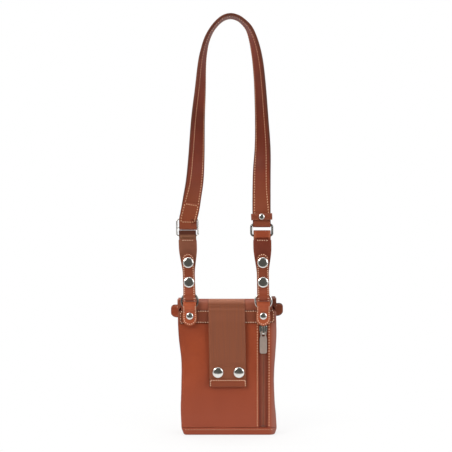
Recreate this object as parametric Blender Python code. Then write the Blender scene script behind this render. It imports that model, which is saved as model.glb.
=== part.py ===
"""Leather pouch bag: a zipped pouch with a slim zipped pocket on its worn side, a snap-down webbing belt loop,
two riveted ring tabs, and a shoulder strap that hangs on snap-closed lower straps.

Metres, +Z up. The origin is the middle of the flat underside. -Y is the worn side, which carries the
belt loop, the pocket zip and the strap rings.
"""

import math

import bmesh
import bpy
from mathutils import Matrix, Vector

# Clearances
GAP = 0.0003            # between touching layers
FOLD_GAP = 0.0008       # between the strap's lower fold and the tab's fold that it stands on

# Pouch
POUCH_DEPTH = 0.038
TOP_HALF_WIDTH = 0.0685
WAIST_HALF_WIDTH = 0.0640
BASE_HALF_WIDTH = 0.0665
WAIST_HEIGHT = 0.085
FULL_WIDTH_HEIGHT = 0.150
LEATHER = 0.0018        # panels, gussets and base
RIM_TOP = 0.1875
RIM_RADIUS = 0.0065
RIM_EDGE_HEIGHT = 0.176  # where the turned-in edge of the rim ends
RIM_END_INSET = 0.0052   # the rolled rim stops short of the gusset hems

# Base tray
TRAY_HEIGHT = 0.0106
TRAY_FLOOR = 0.0020
TRAY_CORNER = 0.0040
TRAY_DRAFT = 0.0025      # the foot is narrower than the band above it
TRAY_ROUND = 0.0030      # height over which the draft fades out

# Gussets
HEM_THICKNESS = 0.0046
HEM_HEIGHT = 0.0130
GUSSET_TOP = 0.1900
HEM_SHOULDER = 0.0050    # how far the hem's outer corners are cut down
NOTCH_MOUTH_HALF = 0.0095

# Zip end tabs
END_TAB_THICKNESS = 0.0040
END_TAB_HEIGHT = 0.0181
END_TAB_REACH = 0.0104   # past the gusset
END_TAB_INNER = 0.0082   # behind the gusset's outer face
END_TAB_MIDDLE = 0.1723
END_TAB_CORNER = 0.0050

# Lining and pocket bag
LINING = 0.0005
LINING_DRAW = 0.1350     # where its sides start to draw in, to pass inside the zip's end tabs
LINING_MOUTH_HALF = 0.0090
POCKET_BAG_DEPTH = 0.0049
POCKET_BAG_LEFT = -0.0060
POCKET_BAG_RIGHT = 0.0612
POCKET_BAG_BOTTOM = 0.0042
POCKET_BAG_OVER_TAPE = 0.0010

# Top strip
STRIP_BOTTOM = 0.1560
STRIP_TOP = 0.1740
STRIP_HALF_WIDTH = 0.0662
STRIP_THICKNESS = 0.0015
STRIP_CORNER = 0.0020

# Zips, in their own frame: across, along, and out from the tape's face
TAPE = 0.0006
TAPE_HALF_WIDTH = 0.0088
COIL_WIDTH = 0.0058
COIL_THICKNESS = 0.0016
CHAIN_SLOT = 0.0014      # left open between the two tapes, for the slider's neck
SLIDER_LENGTH = 0.0140
SLIDER_SHOULDER_HALF = 0.0057
SLIDER_TAIL_HALF = 0.0041
SLIDER_PLATE = 0.0012
SLIDER_BACK = 0.0010
SLIDER_NECK_LENGTH = 0.0034
SLIDER_LIP = 0.0010
BRIDGE_HALF_LENGTH = 0.0058
BRIDGE_RISE = 0.0040
BRIDGE_THICKNESS = 0.0011
BRIDGE_WIDTH = 0.0030
BRIDGE_CORNER = 0.0018
PULL_LENGTH = 0.0290
PULL_WIDTH = 0.0099
PULL_THICKNESS = 0.0016
PULL_NECK_WIDTH = 0.0078
PULL_EYE_WIDTH = 0.0044
PULL_EYE_LENGTH = 0.0045
PULL_CORNER = 0.0016
PULL_PLAY = 0.0009        # between the slider's plate and the pull, which lies on the pouch's face
STOP_LENGTH = 0.0020
STOP_HALF_WIDTH = 0.0030
STOP_THICKNESS = 0.0009

# Pocket zip
POCKET_ZIP_X = 0.0512
POCKET_WINDOW_WIDTH = 0.0122
POCKET_WINDOW_TOP = 0.1540
POCKET_TAPE_BOTTOM = 0.0050
POCKET_TAPE_OVER_WINDOW = 0.0060
POCKET_COIL_OVER_WINDOW = 0.0020
POCKET_SLIDER_REST = 0.0005  # left above the closed slider
POCKET_STOP_Z = 0.0125
POCKET_COIL_BOTTOM = 0.0140

# Top zip
TOP_TAPE_FACE = 0.1757
TOP_TAPE_HALF_WIDTH = 0.0115
TOP_COIL_SHORT = 0.0040      # the coil ends this far inside the tape's ends
TOP_SLIDER_REST = 0.0020     # left beyond the closed slider

# Ring tabs
TAB_X = 0.0510
TAB_HALF_WIDTH = 0.0092
TAB_FOOT_HALF_WIDTH = 0.0100  # the rounded foot under the rivet is a little wider
TAB_LEATHER = 0.0016
TAB_FRONT_BOTTOM = 0.1528
TAB_BACK_BOTTOM = 0.1572
TAB_FOLD_TOP = 0.1866
TAB_RIVET_Z = 0.1664
TAB_FRONT_KNEE = 0.1716  # where the front leg leaves the rivet and bows over the ring
TAB_BACK_KNEE = 0.1755

# O-rings
RING_RADIUS = 0.0111     # to the middle of the wire
RING_WIRE = 0.0030
RING_TILT = math.radians(21)
RING_SEAT_SHARE = 0.88   # how far up the tab's fold the ring's lower side settles

# Lower straps
STRAP_LEATHER = 0.0020
STRAP_HALF_NARROW = 0.0083
STRAP_HALF_WIDE = 0.0126
STRAP_TAPER_BOTTOM = 0.2220
STRAP_TAPER_TOP = 0.2620
STRAP_TOP = 0.2734
STRAP_TOP_CORNER = 0.0030
STRAP_LOOP_RADIUS = 0.0048   # room inside the lower fold for the ring to turn
STRAP_LOOP_OPEN = 0.1970     # the two layers run parallel up to here
STRAP_LOOP_CLOSED = 0.2055   # and lie together from here
SNAP_SPACE = 0.0034          # between layers that a snap joins
LEFT_STRAP_TOP_X = -0.0540
RIGHT_STRAP_TOP_X = 0.0496
TAIL_HALF_WIDTH = 0.0082
TAIL_TOP = 0.2532
LOWER_SNAP_Z = 0.2133
UPPER_SNAP_Z = 0.2405

# Bar loops and the hardware that joins the lower straps to the shoulder strap
BAR_Z = 0.2776
BAR_LOOP_LEATHER = 0.0016
BAR_LOOP_HALF_WIDTH = 0.0119
BAR_LOOP_TOP = 0.2852
BAR_LOOP_BOTTOM = 0.2580
RECT_RING_WIRE = 0.0030
RECT_RING_WIDTH = 0.0323
RECT_RING_HEIGHT = 0.0187
RECT_RING_CORNER = 0.0036
SLIDE_WIRE = 0.0020
SLIDE_WIDTH = 0.0317
SLIDE_HEIGHT = 0.0250
SLIDE_CORNER = 0.0030
SLIDE_OFFSET = -0.0009   # the frame hangs a little to the outside of the strap

# Shoulder strap
SHOULDER_HALF_WIDTH = 0.0127
SHOULDER_THICKNESS = 0.0035
SHOULDER_SKIVED = 0.0022     # thinned for the folds at its ends
SHOULDER_END_HALF_WIDTH = 0.0124
SHOULDER_CLOSE_HEIGHT = 0.0070   # above the bar, where the folded end lies against the strap
PATCH_TOP = 0.3230
STRAP_TAIL_TOP = 0.3410
ARCH_TOP = 0.5831            # middle of the strap's thickness
LEFT_END_X = -0.0534
RIGHT_END_X = 0.0490
KEEPER_Z = 0.3035
KEEPER_HEIGHT = 0.0090
KEEPER_LEATHER = 0.0014
KEEPER_CORNER = 0.0020
KEEPER_GAP = 0.0006

# The strap's route from its left end over the top to its right end.
# Across: a share of the half span between the two ends. Up: a share of the rise from the left end to the top.
# Turn: degrees that the strap's width has turned away from the left end's.
ARCH_SHARES = (
    (-1.000, 0.000, 0.0),
    (-0.945, 0.045, 6.0),
    (-0.885, 0.110, 14.0),
    (-0.815, 0.195, 22.0),
    (-0.770, 0.315, 34.0),
    (-0.730, 0.490, 48.0),
    (-0.670, 0.630, 60.0),
    (-0.620, 0.765, 71.0),
    (-0.555, 0.840, 78.0),
    (-0.480, 0.888, 82.0),
    (-0.370, 0.929, 86.0),
    (-0.230, 0.963, 88.0),
    (-0.050, 0.990, 89.0),
    (0.148, 1.000, 90.0),
    (0.340, 0.992, 92.0),
    (0.485, 0.974, 95.0),
    (0.640, 0.942, 101.0),
    (0.740, 0.900, 107.0),
    (0.825, 0.842, 113.0),
    (0.895, 0.768, 118.0),
    (0.950, 0.660, 122.0),
    (1.000, 0.486, 131.0),
    (1.021, 0.352, 144.0),
    (0.998, 0.217, 163.0),
    (0.992, 0.062, 173.0),
)

# Belt loop
WEBBING = 0.0015
WEBBING_HALF_WIDTH = 0.0254
WEBBING_BOTTOM = 0.0705
BELT_GAP = 0.0046            # room for a belt between the panel and the webbing
BELT_GAP_TOP = 0.1570
BELT_GAP_BOTTOM = 0.1040
BELT_SNAP_Z = 0.0880
BELT_SNAP_X = 0.0146          # half the space between the two snaps
BELT_SNAP_MIDDLE = 0.0027
BELT_LEAN = 0.0020            # how far the webbing's foot hangs to the right
BELT_SNAP_FLAT_TOP = 0.0955
ANCHOR_SWEEP = math.radians(135)
END_PATCH_LEATHER = 0.0014
END_PATCH_HALF_WIDTH = 0.0257
END_PATCH_TOP = 0.0790

# Snap fasteners: radii and heights
SNAP_CAP_RADIUS = 0.0074
SNAP_CAP_RISE = 0.0024
SNAP_CAP_EDGE = 0.0007
SNAP_BARREL_RADIUS = 0.0020
SNAP_SOCKET_RADIUS = 0.0060
SNAP_SOCKET_THICKNESS = 0.0017
SNAP_STUD_FLANGE_RADIUS = 0.0055
SNAP_STUD_FLANGE = 0.0006
SNAP_STUD_HEAD_RADIUS = 0.0024
SNAP_STUD_NECK_RADIUS = 0.0019
SNAP_POST_CAP_RADIUS = 0.0050
SNAP_POST_CAP = 0.0010
SNAP_SHANK_RADIUS = 0.0017

# Rivets
RIVET_CAP_RADIUS = 0.0050
RIVET_CAP_RISE = 0.0020
RIVET_SHANK_RADIUS = 0.0018
RIVET_BACK_RADIUS = 0.0045
RIVET_BACK_THICKNESS = 0.0009
KEEPER_RIVET_RADIUS = 0.0040

# Overrun of every cutter past what it cuts
OVERRUN = 0.0010

# Counts
ROUND_SEGMENTS = 24
SMALL_SEGMENTS = 16
RING_SEGMENTS = 36
WIRE_SIDES = 10
ARC_STEPS = 8
CORNER_STEPS = 4

# Places worked out from the sizes above
POCKET_TAPE_TOP = POCKET_WINDOW_TOP + POCKET_TAPE_OVER_WINDOW
POCKET_COIL_TOP = POCKET_WINDOW_TOP + POCKET_COIL_OVER_WINDOW
POCKET_SLIDER_Z = POCKET_WINDOW_TOP - POCKET_SLIDER_REST - SLIDER_LENGTH / 2
POCKET_BAG_TOP = POCKET_TAPE_TOP + POCKET_BAG_OVER_TAPE
LINING_SHOULDER = POCKET_BAG_TOP + LINING  # where the lining starts to lean in to the zip
LINING_TOP = TOP_TAPE_FACE - TAPE - GAP
TOP_TAPE_HALF_LENGTH = TOP_HALF_WIDTH - END_TAB_INNER - GAP
TOP_COIL_HALF_LENGTH = TOP_TAPE_HALF_LENGTH - TOP_COIL_SHORT
TOP_SLIDER_X = TOP_COIL_HALF_LENGTH - TOP_SLIDER_REST - SLIDER_LENGTH / 2
TOP_STOP_X = -TOP_COIL_HALF_LENGTH - STOP_LENGTH
BACK_FACE_Y = -POUCH_DEPTH / 2
STRIP_FACE_Y = BACK_FACE_Y - GAP - STRIP_THICKNESS
TAB_BACK_INNER_Y = STRIP_FACE_Y - GAP - TAB_LEATHER
TAB_FRONT_INNER_Y = TAB_BACK_INNER_Y - GAP
TAB_FRONT_OUTER_Y = TAB_FRONT_INNER_Y - TAB_LEATHER
RING_Y = TAB_BACK_INNER_Y - GAP - RING_WIRE / 2
RING_DROP = RING_RADIUS - math.sqrt(RING_RADIUS**2 - TAB_HALF_WIDTH**2)
TAB_LOOP_RADIUS = RING_DROP * math.sin(RING_TILT) + (RING_WIRE / 2 + GAP) / math.cos(RING_TILT)
STRAP_FOLD_BOTTOM = TAB_FOLD_TOP + FOLD_GAP
STRAP_RING_DROP = RING_RADIUS - math.sqrt(RING_RADIUS**2 - STRAP_HALF_NARROW**2)
RING_AXIS_Z = TAB_FRONT_KNEE + (RING_WIRE / 2 + GAP) / math.sin(RING_TILT) * RING_SEAT_SHARE
RING_Z = RING_AXIS_Z + RING_RADIUS
STRAP_AXIS_Z = RING_Z + RING_RADIUS - STRAP_RING_DROP / 2
STRAP_LAYER_OFFSET = (SNAP_SPACE + STRAP_LEATHER) / 2
STRAP_BACK_Y = RING_Y + STRAP_LAYER_OFFSET
TAIL_Y = RING_Y - STRAP_LAYER_OFFSET
BAR_Y = STRAP_BACK_Y + STRAP_LEATHER / 2 + GAP + BAR_LOOP_LEATHER + GAP / 2
RIM_CENTRE_Y = BACK_FACE_Y + RIM_RADIUS
RIM_CENTRE_Z = RIM_TOP - RIM_RADIUS
POCKET_TAPE_FACE_Y = BACK_FACE_Y + LEATHER + GAP
PANEL_BOTTOM = TRAY_HEIGHT + GAP
SLIDE_TOP_BAR_Z = BAR_Z + SLIDE_HEIGHT - SLIDE_WIRE
SLIDE_MIDDLE_Z = (BAR_Z + SLIDE_TOP_BAR_Z) / 2
RECT_RING_TOP_BAR_Z = BAR_Z + RECT_RING_HEIGHT - RECT_RING_WIRE
WEBBING_TOP = RIM_CENTRE_Z - GAP

X_AXIS = Vector((1, 0, 0))

FINISHES = {
    "leather": ((0.365, 0.082, 0.036, 1), 0.48, 0.0),
    "leather_dark": ((0.185, 0.052, 0.030, 1), 0.60, 0.0),
    "webbing": ((0.262, 0.089, 0.045, 1), 0.85, 0.0),
    "zip_tape": ((0.150, 0.045, 0.028, 1), 0.85, 0.0),
    "lining": ((0.110, 0.060, 0.042, 1), 0.90, 0.0),
    "metal": ((0.780, 0.760, 0.720, 1), 0.16, 1.0),
    "dark_metal": ((0.230, 0.215, 0.200, 1), 0.22, 1.0),
}


# Scene, materials and objects


def clear_scene():
    for old in list(bpy.data.objects):
        bpy.data.objects.remove(old, do_unlink=True)


def make_material(name, finish):
    colour, roughness, metallic = FINISHES[finish]
    made = bpy.data.materials.new(name)
    made.use_nodes = True
    shader = made.node_tree.nodes["Principled BSDF"]
    shader.inputs["Base Color"].default_value = colour
    shader.inputs["Roughness"].default_value = roughness
    shader.inputs["Metallic"].default_value = metallic
    made.diffuse_color = colour
    return made


def make_object(name, shape, finish=None, pivot=None):
    """One object from (points, faces). Its origin is the pivot, and so is its parent, where it has one."""
    points, faces = shape
    origin = pivot.matrix_world.translation if pivot else Vector((0, 0, 0))
    mesh = bpy.data.meshes.new(name)
    mesh.from_pydata([tuple(Vector(p) - origin) for p in points], [], faces)
    build = bmesh.new()
    build.from_mesh(mesh)
    bmesh.ops.recalc_face_normals(build, faces=build.faces)
    build.to_mesh(mesh)
    build.free()
    made = bpy.data.objects.new(name, mesh)
    bpy.context.scene.collection.objects.link(made)
    if pivot:
        made.parent = pivot
    if finish:
        mesh.materials.append(make_material(name, finish))
    return made


def make_pivot(name, place, parent=None):
    """An empty on a joint's axis."""
    made = bpy.data.objects.new(name, None)
    bpy.context.scene.collection.objects.link(made)
    made.parent = parent
    base = parent.matrix_world.translation if parent else Vector((0, 0, 0))
    made.location = Vector(place) - base
    bpy.context.view_layer.update()
    return made


def smooth(piece, degrees=35):
    piece.data.shade_smooth()
    piece.data.set_sharp_from_angle(angle=math.radians(degrees))


def use_tool(piece, tool, operation):
    """Cuts or joins piece with a tool that stays in the file as a hidden wire object."""
    tool.hide_render = True
    tool.display_type = "WIRE"
    if piece.parent:
        tool.parent = piece.parent
    change = piece.modifiers.new(tool.name, "BOOLEAN")
    change.operation = operation
    change.object = tool
    change.solver = "EXACT"


def cut(piece, name, shape):
    use_tool(piece, make_object(f"{name}_cutter", shape, pivot=piece.parent), "DIFFERENCE")


def join(piece, name, shape):
    use_tool(piece, make_object(f"{name}_tool", shape, pivot=piece.parent), "UNION")


# Shapes: each returns (points, faces)


def merge(shapes):
    points, faces = [], []
    for more_points, more_faces in shapes:
        base = len(points)
        points.extend(more_points)
        faces.extend([tuple(base + i for i in face) for face in more_faces])
    return points, faces


def loft(rings, closed_ends=True):
    """Skins equal rings of points into one surface, with a flat cap at each end."""
    count = len(rings[0])
    points = [Vector(p) for ring in rings for p in ring]
    faces = []
    for level in range(len(rings) - 1):
        low, high = level * count, (level + 1) * count
        for i in range(count):
            after = (i + 1) % count
            faces.append((low + i, low + after, high + after, high + i))
    if closed_ends:
        faces.append(tuple(reversed(range(count))))
        faces.append(tuple(range(len(points) - count, len(points))))
    return points, faces


def loop_loft(rings):
    """Skins rings into a tube that closes on itself."""
    points, faces = loft(rings, closed_ends=False)
    count = len(rings[0])
    last = len(points) - count
    for i in range(count):
        after = (i + 1) % count
        faces.append((last + i, last + after, after, i))
    return points, faces


def moved(shape, frame):
    points, faces = shape
    return [frame @ Vector(p) for p in points], faces


def prism(outline, low, high):
    """An outline of (across, along) points, raised from low to high in its own frame."""
    return loft([[(a, b, low) for a, b in outline], [(a, b, high) for a, b in outline]])


def box(low, high):
    (x0, y0, z0), (x1, y1, z1) = low, high
    outline = ((x0, y0), (x1, y0), (x1, y1), (x0, y1))
    return prism(outline, z0, z1)


def turned(profile, segments):
    """A profile of (radius, height) points turned about the frame's out axis; ends on the axis are poles."""
    points, rows, faces = [], [], []
    for radius, height in profile:
        if radius == 0:
            rows.append([len(points)])
            points.append(Vector((0, 0, height)))
            continue
        row = []
        for step in range(segments):
            angle = 2 * math.pi * step / segments
            row.append(len(points))
            points.append(Vector((radius * math.cos(angle), radius * math.sin(angle), height)))
        rows.append(row)
    closed = profile[0][0] > 0 and profile[-1][0] > 0
    pairs = list(zip(rows, rows[1:])) + ([(rows[-1], rows[0])] if closed else [])
    for first, second in pairs:
        for step in range(segments):
            after = (step + 1) % segments
            corners = (
                first[step % len(first)],
                first[after % len(first)],
                second[after % len(second)],
                second[step % len(second)],
            )
            faces.append(tuple(dict.fromkeys(corners)))
    return points, faces


def arc(centre, radius, start, end, steps):
    """Points on an arc, in degrees counted from the first axis towards the second."""
    found = []
    for step in range(steps + 1):
        angle = math.radians(start + (end - start) * step / steps)
        found.append((centre[0] + radius * math.cos(angle), centre[1] + radius * math.sin(angle)))
    return found


def rounded_box(left, bottom, right, top, corner, steps=CORNER_STEPS):
    return (
        arc((right - corner, bottom + corner), corner, -90, 0, steps)
        + arc((right - corner, top - corner), corner, 0, 90, steps)
        + arc((left + corner, top - corner), corner, 90, 180, steps)
        + arc((left + corner, bottom + corner), corner, 180, 270, steps)
    )


def ribbon(stations):
    """A strip of rectangular section. A station is (place, across, out, half width, thickness)."""
    rings = []
    for place, across, out, half, thickness in stations:
        side, depth = across * half, out * (thickness / 2)
        rings.append([place + side + depth, place - side + depth, place - side - depth, place + side - depth])
    return loft(rings)


def strip_stations(path, thickness):
    """Stations of a strip that bends only in the YZ plane. A path point is (x, y, z, half width)."""
    found = []
    for i, (x, y, z, half) in enumerate(path):
        before, after = path[max(i - 1, 0)], path[min(i + 1, len(path) - 1)]
        along = Vector((0, after[1] - before[1], after[2] - before[2])).normalized()
        found.append((Vector((x, y, z)), X_AXIS, X_AXIS.cross(along), half, thickness))
    return found


def wire_loop(path, radius, sides=WIRE_SIDES):
    """A round wire along a closed path of points."""
    rings = []
    normal = (path[1] - path[0]).cross(path[2] - path[1]).normalized()
    for i, place in enumerate(path):
        along = (path[(i + 1) % len(path)] - path[i - 1]).normalized()
        side = along.cross(normal)
        ring = []
        for step in range(sides):
            angle = 2 * math.pi * step / sides
            ring.append(place + side * (radius * math.cos(angle)) + normal * (radius * math.sin(angle)))
        rings.append(ring)
    return loop_loft(rings)


def ease(share):
    """Runs from 0 to 1 with level ends."""
    share = min(max(share, 0), 1)
    return share * share * (3 - 2 * share)


def between(low, high, share):
    return low + (high - low) * share


def steps_between(low, high, count):
    return [between(low, high, i / count) for i in range(count + 1)]


# Frames: columns are across, along and out


def worn_side_frame(x, y, z):
    """Across +X, along +Z, out towards the wearer, -Y."""
    return Matrix(((1, 0, 0, x), (0, 0, -1, y), (0, 1, 0, z), (0, 0, 0, 1)))


def top_frame(x, y, z):
    """Along +X, out +Z, for the zip in the mouth."""
    return Matrix(((0, 1, 0, x), (-1, 0, 0, y), (0, 0, 1, z), (0, 0, 0, 1)))


# The pouch


def half_width(z):
    """Half the pouch's width: drawn in at the waist, full at the mouth and the foot."""
    if z < WAIST_HEIGHT:
        return between(BASE_HALF_WIDTH, WAIST_HALF_WIDTH, ease(z / WAIST_HEIGHT))
    share = (z - WAIST_HEIGHT) / (FULL_WIDTH_HEIGHT - WAIST_HEIGHT)
    return between(WAIST_HALF_WIDTH, TOP_HALF_WIDTH, ease(share))


def panel_path(side):
    """Up the face of a panel, over its rolled rim and down to its turned-in edge. Side -1 is the worn side."""
    middle = LEATHER / 2
    face = abs(BACK_FACE_Y) - middle
    rim = RIM_RADIUS - middle
    path = [(0, face, z, half_width(z)) for z in wall_levels() + [STRIP_TOP]]
    rim_half = TOP_HALF_WIDTH - RIM_END_INSET
    centre = (abs(RIM_CENTRE_Y), RIM_CENTRE_Z)
    for y, z in arc(centre, rim, 0, 180, ARC_STEPS):
        path.append((0, y, z, rim_half))
    path.append((0, centre[0] - rim, RIM_EDGE_HEIGHT, rim_half))
    return [(x, side * y, z, half) for x, y, z, half in path]


def rivet_hole(x, y, z, radius=RIVET_SHANK_RADIUS, depth=POUCH_DEPTH / 4):
    """A round cutter along Y, centred on a fastener."""
    profile = [(0, -depth), (radius + GAP, -depth), (radius + GAP, depth), (0, depth)]
    return moved(turned(profile, SMALL_SEGMENTS), worn_side_frame(x, y, z))


def belt_snap_holes(y, radius):
    return merge(
        [
            rivet_hole(BELT_SNAP_MIDDLE + side * BELT_SNAP_X, y, BELT_SNAP_Z, radius, SNAP_SPACE / 2)
            for side in (-1, 1)
        ]
    )


def tab_rivet_holes():
    return merge([rivet_hole(side * TAB_X, TAB_BACK_INNER_Y, TAB_RIVET_Z) for side in (-1, 1)])


def make_panels():
    back = make_object("back_panel", ribbon(strip_stations(panel_path(-1), LEATHER)), "leather")
    front = make_object("front_panel", ribbon(strip_stations(panel_path(1), LEATHER)), "leather")
    half_window = POCKET_WINDOW_WIDTH / 2
    cut(
        back,
        "pocket_window",
        box(
            (POCKET_ZIP_X - half_window, BACK_FACE_Y - OVERRUN, PANEL_BOTTOM - OVERRUN),
            (POCKET_ZIP_X + half_window, BACK_FACE_Y + LEATHER + OVERRUN, POCKET_WINDOW_TOP),
        ),
    )
    cut(back, "panel_rivet_holes", tab_rivet_holes())
    cut(back, "panel_snap_holes", belt_snap_holes(BACK_FACE_Y + LEATHER / 2, SNAP_SHANK_RADIUS))
    smooth(back)
    smooth(front)


def notch_outline():
    """What the gusset's hem loses, in (y, z): the valley for the zip's end and the two outer shoulders."""
    floor_half = END_TAB_THICKNESS / 2 + GAP
    floor = END_TAB_MIDDLE - END_TAB_HEIGHT / 2 - GAP
    top = GUSSET_TOP + OVERRUN
    edge = abs(BACK_FACE_Y)
    valley = (
        (-floor_half, floor),
        (floor_half, floor),
        (floor_half, RIM_EDGE_HEIGHT),
        (NOTCH_MOUTH_HALF, top),
        (-NOTCH_MOUTH_HALF, top),
        (-floor_half, RIM_EDGE_HEIGHT),
    )
    shoulders = []
    for side in (-1, 1):
        shoulders.append(
            (
                (side * (edge - HEM_SHOULDER), top),
                (side * edge, top),
                (side * edge, GUSSET_TOP - HEM_SHOULDER),
            )
        )
    return [valley] + shoulders


def make_gusset(name, side):
    """A side strip that follows the waist and ends in a turned hem."""
    depth = abs(BACK_FACE_Y) - LEATHER - GAP
    hem_start = GUSSET_TOP - HEM_HEIGHT
    heights = [(z, LEATHER) for z in wall_levels() + [hem_start - LEATHER]]
    heights += [(z, HEM_THICKNESS) for z in (hem_start, GUSSET_TOP)]
    rings = []
    for z, thickness in heights:
        outer = side * half_width(z)
        inner = side * (half_width(z) - thickness)
        rings.append([(outer, -depth, z), (outer, depth, z), (inner, depth, z), (inner, -depth, z)])
    made = make_object(name, loft(rings), "leather")
    low = side * (TOP_HALF_WIDTH - HEM_THICKNESS - OVERRUN)
    high = side * (TOP_HALF_WIDTH + OVERRUN)
    wedges = []
    for outline in notch_outline():
        wedges.append(loft([[(low, y, z) for y, z in outline], [(high, y, z) for y, z in outline]]))
    cut(made, f"{name}_hem", merge(wedges))


def tray_ring(z, inset_x, inset_y, corner):
    half_x = BASE_HALF_WIDTH - inset_x
    half_y = abs(BACK_FACE_Y) - inset_y
    return [(x, y, z) for x, y in rounded_box(-half_x, -half_y, half_x, half_y, corner)]


def make_base_tray():
    inner_corner = TRAY_CORNER - LEATHER / 2
    rings = [
        tray_ring(0, TRAY_DRAFT, TRAY_DRAFT / 3, TRAY_CORNER),
        tray_ring(TRAY_ROUND, TRAY_DRAFT / 4, 0, TRAY_CORNER),
        tray_ring(TRAY_HEIGHT, 0, 0, TRAY_CORNER),
        tray_ring(TRAY_HEIGHT, LEATHER, LEATHER, inner_corner),
        tray_ring(TRAY_ROUND, LEATHER + TRAY_DRAFT / 4, LEATHER, inner_corner),
        tray_ring(TRAY_FLOOR, LEATHER + TRAY_DRAFT, LEATHER, inner_corner),
    ]
    smooth(make_object("base_tray", loft(rings), "leather"))


def wall_levels():
    """The heights at which every upright wall of the pouch bends with its outline."""
    return steps_between(PANEL_BOTTOM, FULL_WIDTH_HEIGHT, 9)


def lining_ring(z, inset, foot=0):
    """One level of the lining: inset takes the wall's thickness off, foot draws the bottom in."""
    draw = ease((z - LINING_DRAW) / (END_TAB_MIDDLE - END_TAB_HEIGHT / 2 - GAP - LINING_DRAW))
    wide = half_width(z) - LEATHER - GAP
    half_x = between(wide, TOP_HALF_WIDTH - END_TAB_INNER - GAP, draw) - inset - foot
    lean = ease((z - LINING_SHOULDER) / (LINING_TOP - LINING_SHOULDER))
    bag_back = BACK_FACE_Y + LEATHER + GAP + POCKET_BAG_DEPTH
    back = between(bag_back, -LINING_MOUTH_HALF, lean) + inset
    front = between(abs(BACK_FACE_Y) - LEATHER - GAP, LINING_MOUTH_HALF, lean) - inset - foot
    return [(-half_x, back, z), (half_x, back, z), (half_x, front, z), (-half_x, front, z)]


def make_lining():
    """An open-topped cloth bag that hangs from the mouth."""
    bottom = TRAY_FLOOR + GAP
    levels = [z for z in wall_levels()[1:] if z < LINING_DRAW]
    levels += steps_between(LINING_DRAW, LINING_SHOULDER, 5)
    levels += steps_between(LINING_SHOULDER, LINING_TOP, 4)[1:]
    rings = []
    for inset in (0, LINING):
        foot = [lining_ring(z, inset, TRAY_DRAFT) for z in (bottom + inset, PANEL_BOTTOM)]
        wall = foot + [lining_ring(z, inset) for z in levels]
        rings += list(reversed(wall)) if inset else wall
    make_object("lining", loft(rings), "lining")


def make_pocket_bag():
    """A shallow cloth tray behind the pocket zip, open towards the panel."""
    front = BACK_FACE_Y + LEATHER + GAP
    back = front + POCKET_BAG_DEPTH - GAP
    left, right, low, high = POCKET_BAG_LEFT, POCKET_BAG_RIGHT, POCKET_BAG_BOTTOM, POCKET_BAG_TOP
    outer = ((left, low), (right, low), (right, high), (left, high))
    wall = LINING
    inner = (
        (left + wall, low + wall),
        (right - wall, low + wall),
        (right - wall, high - wall),
        (left + wall, high - wall),
    )
    rings = [
        [(x, back, z) for x, z in outer],
        [(x, front, z) for x, z in outer],
        [(x, front, z) for x, z in inner],
        [(x, back - wall, z) for x, z in inner],
    ]
    make_object("pocket_bag", loft(rings), "lining")


def make_top_strip():
    outline = rounded_box(-STRIP_HALF_WIDTH, STRIP_BOTTOM, STRIP_HALF_WIDTH, STRIP_TOP, STRIP_CORNER)
    frame = worn_side_frame(0, BACK_FACE_Y, 0)
    made = make_object("top_strip", moved(prism(outline, GAP, GAP + STRIP_THICKNESS), frame), "leather")
    cut(made, "strip_rivet_holes", tab_rivet_holes())


def make_zip_end_tab(name, side):
    """The leather tab that closes the zip's end: flat top, round upper corner, slanted lower corner."""
    outer = TOP_HALF_WIDTH + END_TAB_REACH
    inner = TOP_HALF_WIDTH - END_TAB_INNER
    low = END_TAB_MIDDLE - END_TAB_HEIGHT / 2
    high = low + END_TAB_HEIGHT
    corner = END_TAB_CORNER
    outline = [(inner, low), (outer - corner - corner / 2, low), (outer - corner / 3, low + corner)]
    outline += [(outer, low + corner + corner / 3)]
    outline += arc((outer - corner, high - corner), corner, 0, 90, 2 * CORNER_STEPS)
    outline += [(inner, high)]
    half = END_TAB_THICKNESS / 2
    rings = [[(side * x, y, z) for x, z in outline] for y in (-half, half)]
    make_object(name, loft(rings), "leather")


# Zips


def slider_outline(inset=0):
    """The slider seen from outside: broad shoulders at its neck end, a narrower tail."""
    half = SLIDER_LENGTH / 2
    shoulder, tail = SLIDER_SHOULDER_HALF - inset, SLIDER_TAIL_HALF - inset
    end = half - inset
    right = [(tail, -end), (shoulder, half / 6), (shoulder, end - shoulder / 2)]
    right += [(shoulder - shoulder / 8, end - shoulder / 6), (shoulder / 2, end)]
    return right + [(-x, y) for x, y in reversed(right)]


def bridge_shape():
    """The arched loop over the slider that the pull hangs in."""
    foot = GAP + SLIDER_PLATE / 2
    top = GAP + SLIDER_PLATE + BRIDGE_RISE
    outline = []
    for inset in (0, BRIDGE_THICKNESS):
        half, corner = BRIDGE_HALF_LENGTH - inset, BRIDGE_CORNER - inset
        centre = top - BRIDGE_CORNER
        half_arch = [(half, foot)] + arc((half - corner, centre), corner, 0, 90, CORNER_STEPS)
        arch = half_arch + [(-along, out) for along, out in reversed(half_arch)]
        outline += arch if inset == 0 else list(reversed(arch))
    width = BRIDGE_WIDTH / 2
    return loft([[(side * width, along, out) for along, out in outline] for side in (-1, 1)])


def slider_back_shape():
    """The plate behind the tape, with a lip along each side that guides the coil."""
    high = -TAPE - COIL_THICKNESS - GAP
    low = high - SLIDER_BACK
    inner = COIL_WIDTH / 2 + GAP
    outer = inner + SLIDER_LIP
    lip_top = -TAPE - GAP
    outline = (
        (-outer, low),
        (outer, low),
        (outer, lip_top),
        (inner, lip_top),
        (inner, high),
        (-inner, high),
        (-inner, lip_top),
        (-outer, lip_top),
    )
    half = SLIDER_LENGTH / 2 - GAP
    return loft([[(across, along, out) for across, out in outline] for along in (-half, half)])


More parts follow.
